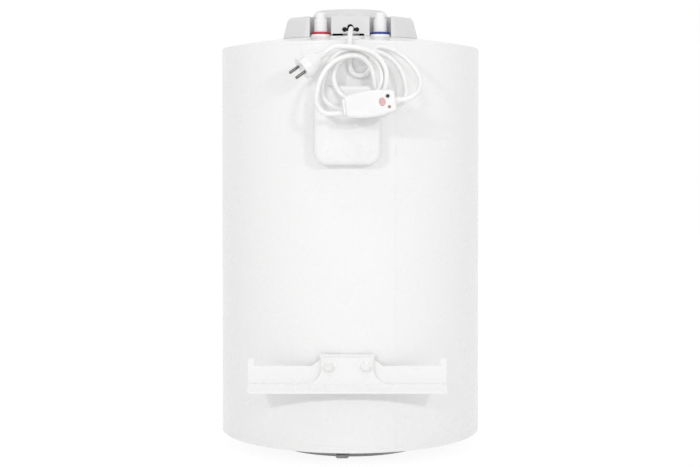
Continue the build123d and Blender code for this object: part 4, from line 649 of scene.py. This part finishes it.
def plug_relief_ribs():
    """Ribbed strain relief behind the plug, turned about the plug's axis."""
    base = plug_face - plug_axis * plug_depth
    side = plug_axis.cross(Vector((0, 0, 1))).normalized()
    other = plug_axis.cross(side)
    taper = math.tan(math.radians(relief_taper_degrees))
    profile = [(0, 0.004)]
    for step in range(relief_steps + 1):
        share = step / relief_steps
        radius = relief_foot_radius - share * relief_length * taper
        wave = math.cos(2 * math.pi * relief_grooves * share)
        if 0.06 < share < 0.95 and wave < -0.1:
            radius -= relief_groove_depth * min(1, (-wave - 0.1) * 2)
        profile.append((share * relief_length, radius))
    profile.append((relief_length, 0.0043))
    angles = [2 * math.pi * i / relief_sides for i in range(relief_sides)]
    mesh = bmesh.new()
    rings = []
    for along, radius in profile:
        centre = base - plug_axis * along
        rings.append([
            mesh.verts.new(centre + radius * (side * math.cos(a) + other * math.sin(a)))
            for a in angles
        ])
    bridge(mesh, rings)
    mesh.faces.new(rings[0])
    mesh.faces.new(list(reversed(rings[-1])))
    data = finished("plug_relief_ribs", mesh, 40)
    return add_piece("plug_relief_ribs", data, "white_cord", "heater", "plug_relief")


relief_ribs = plug_relief_ribs()

# Smooth shading on every CAD node, with edges crisp past an angle
crisp_degrees = 24
for node in nodes.values():
    for polygon in node.data.polygons:
        polygon.use_smooth = True
    node.data.set_sharp_from_angle(angle=math.radians(crisp_degrees))


# Floor, world and lamps
def background_rays(tree):
    """1 for the rays that show the background: straight, in a reflection, or through glass."""
    path = tree.nodes.new("ShaderNodeLightPath").outputs
    total = path["Is Camera Ray"]
    for kind in ("Is Glossy Ray", "Is Transmission Ray"):
        total = calculate(tree, "MAXIMUM", total, path[kind])
    return total


reach = 6
floor_tone = 0.94
glow_strength = 1.06
glow_share = 0.86


def floor():
    """A pale floor that takes the object's shadow and shows nearly white."""
    mesh = bmesh.new()
    corners = ((-reach, -reach), (reach, -reach), (reach, reach), (-reach, reach))
    mesh.faces.new([mesh.verts.new((x, y, 0)) for x, y in corners])
    data = bpy.data.meshes.new("floor")
    mesh.to_mesh(data)
    mesh.free()
    piece = bpy.data.objects.new("floor", data)
    scene.collection.objects.link(piece)
    material = bpy.data.materials.new("floor")
    material.use_nodes = True
    tree = material.node_tree
    shader = tree.nodes["Principled BSDF"]
    shader.inputs["Base Color"].default_value = (floor_tone, floor_tone, floor_tone, 1)
    shader.inputs["Roughness"].default_value = 0.9
    glow = tree.nodes.new("ShaderNodeEmission")
    glow.inputs["Strength"].default_value = glow_strength
    share = calculate(tree, "MULTIPLY", background_rays(tree), glow_share)
    surface_mix(tree, share, shader.outputs["BSDF"], glow.outputs["Emission"])
    data.materials.append(material)


floor()

# The world shows white, and lights the object a little less
backdrop_strength = 1.0
ambient_strength = 0.77
world = bpy.data.worlds.new("studio")
scene.world = world
world.use_nodes = True
world_tree = world.node_tree
background = world_tree.nodes["Background"]
background.inputs["Color"].default_value = (1, 1, 1, 1)
level = world_tree.nodes.new("ShaderNodeMapRange")
level.inputs["To Min"].default_value = ambient_strength
level.inputs["To Max"].default_value = backdrop_strength
world_tree.links.new(background_rays(world_tree), level.inputs["Value"])
world_tree.links.new(level.outputs["Result"], background.inputs["Strength"])

lamp_aim = Vector((0, 0, 0.4))


def softbox(name, azimuth, elevation, distance, width, height, watts):
    """A soft lamp aimed at the heater, azimuth 0 being the camera's side."""
    lamp = bpy.data.lights.new(name, "AREA")
    lamp.shape = "RECTANGLE"
    lamp.size = width
    lamp.size_y = height
    lamp.energy = watts
    piece = bpy.data.objects.new(name, lamp)
    turn, rise = math.radians(azimuth), math.radians(elevation)
    piece.location = lamp_aim + distance * Vector(
        (math.sin(turn) * math.cos(rise), -math.cos(turn) * math.cos(rise), math.sin(rise))
    )
    piece.rotation_euler = (lamp_aim - piece.location).to_track_quat("-Z", "Y").to_euler()
    scene.collection.objects.link(piece)


softbox("left_softbox", -26, 18, 3.2, 0.25, 0.2, 12)
softbox("right_softbox", 26, 18, 3.2, 0.25, 0.2, 12)
softbox("top_softbox", 3, 60, 2.6, 0.6, 0.4, 4)

scene.view_settings.view_transform = "Standard"
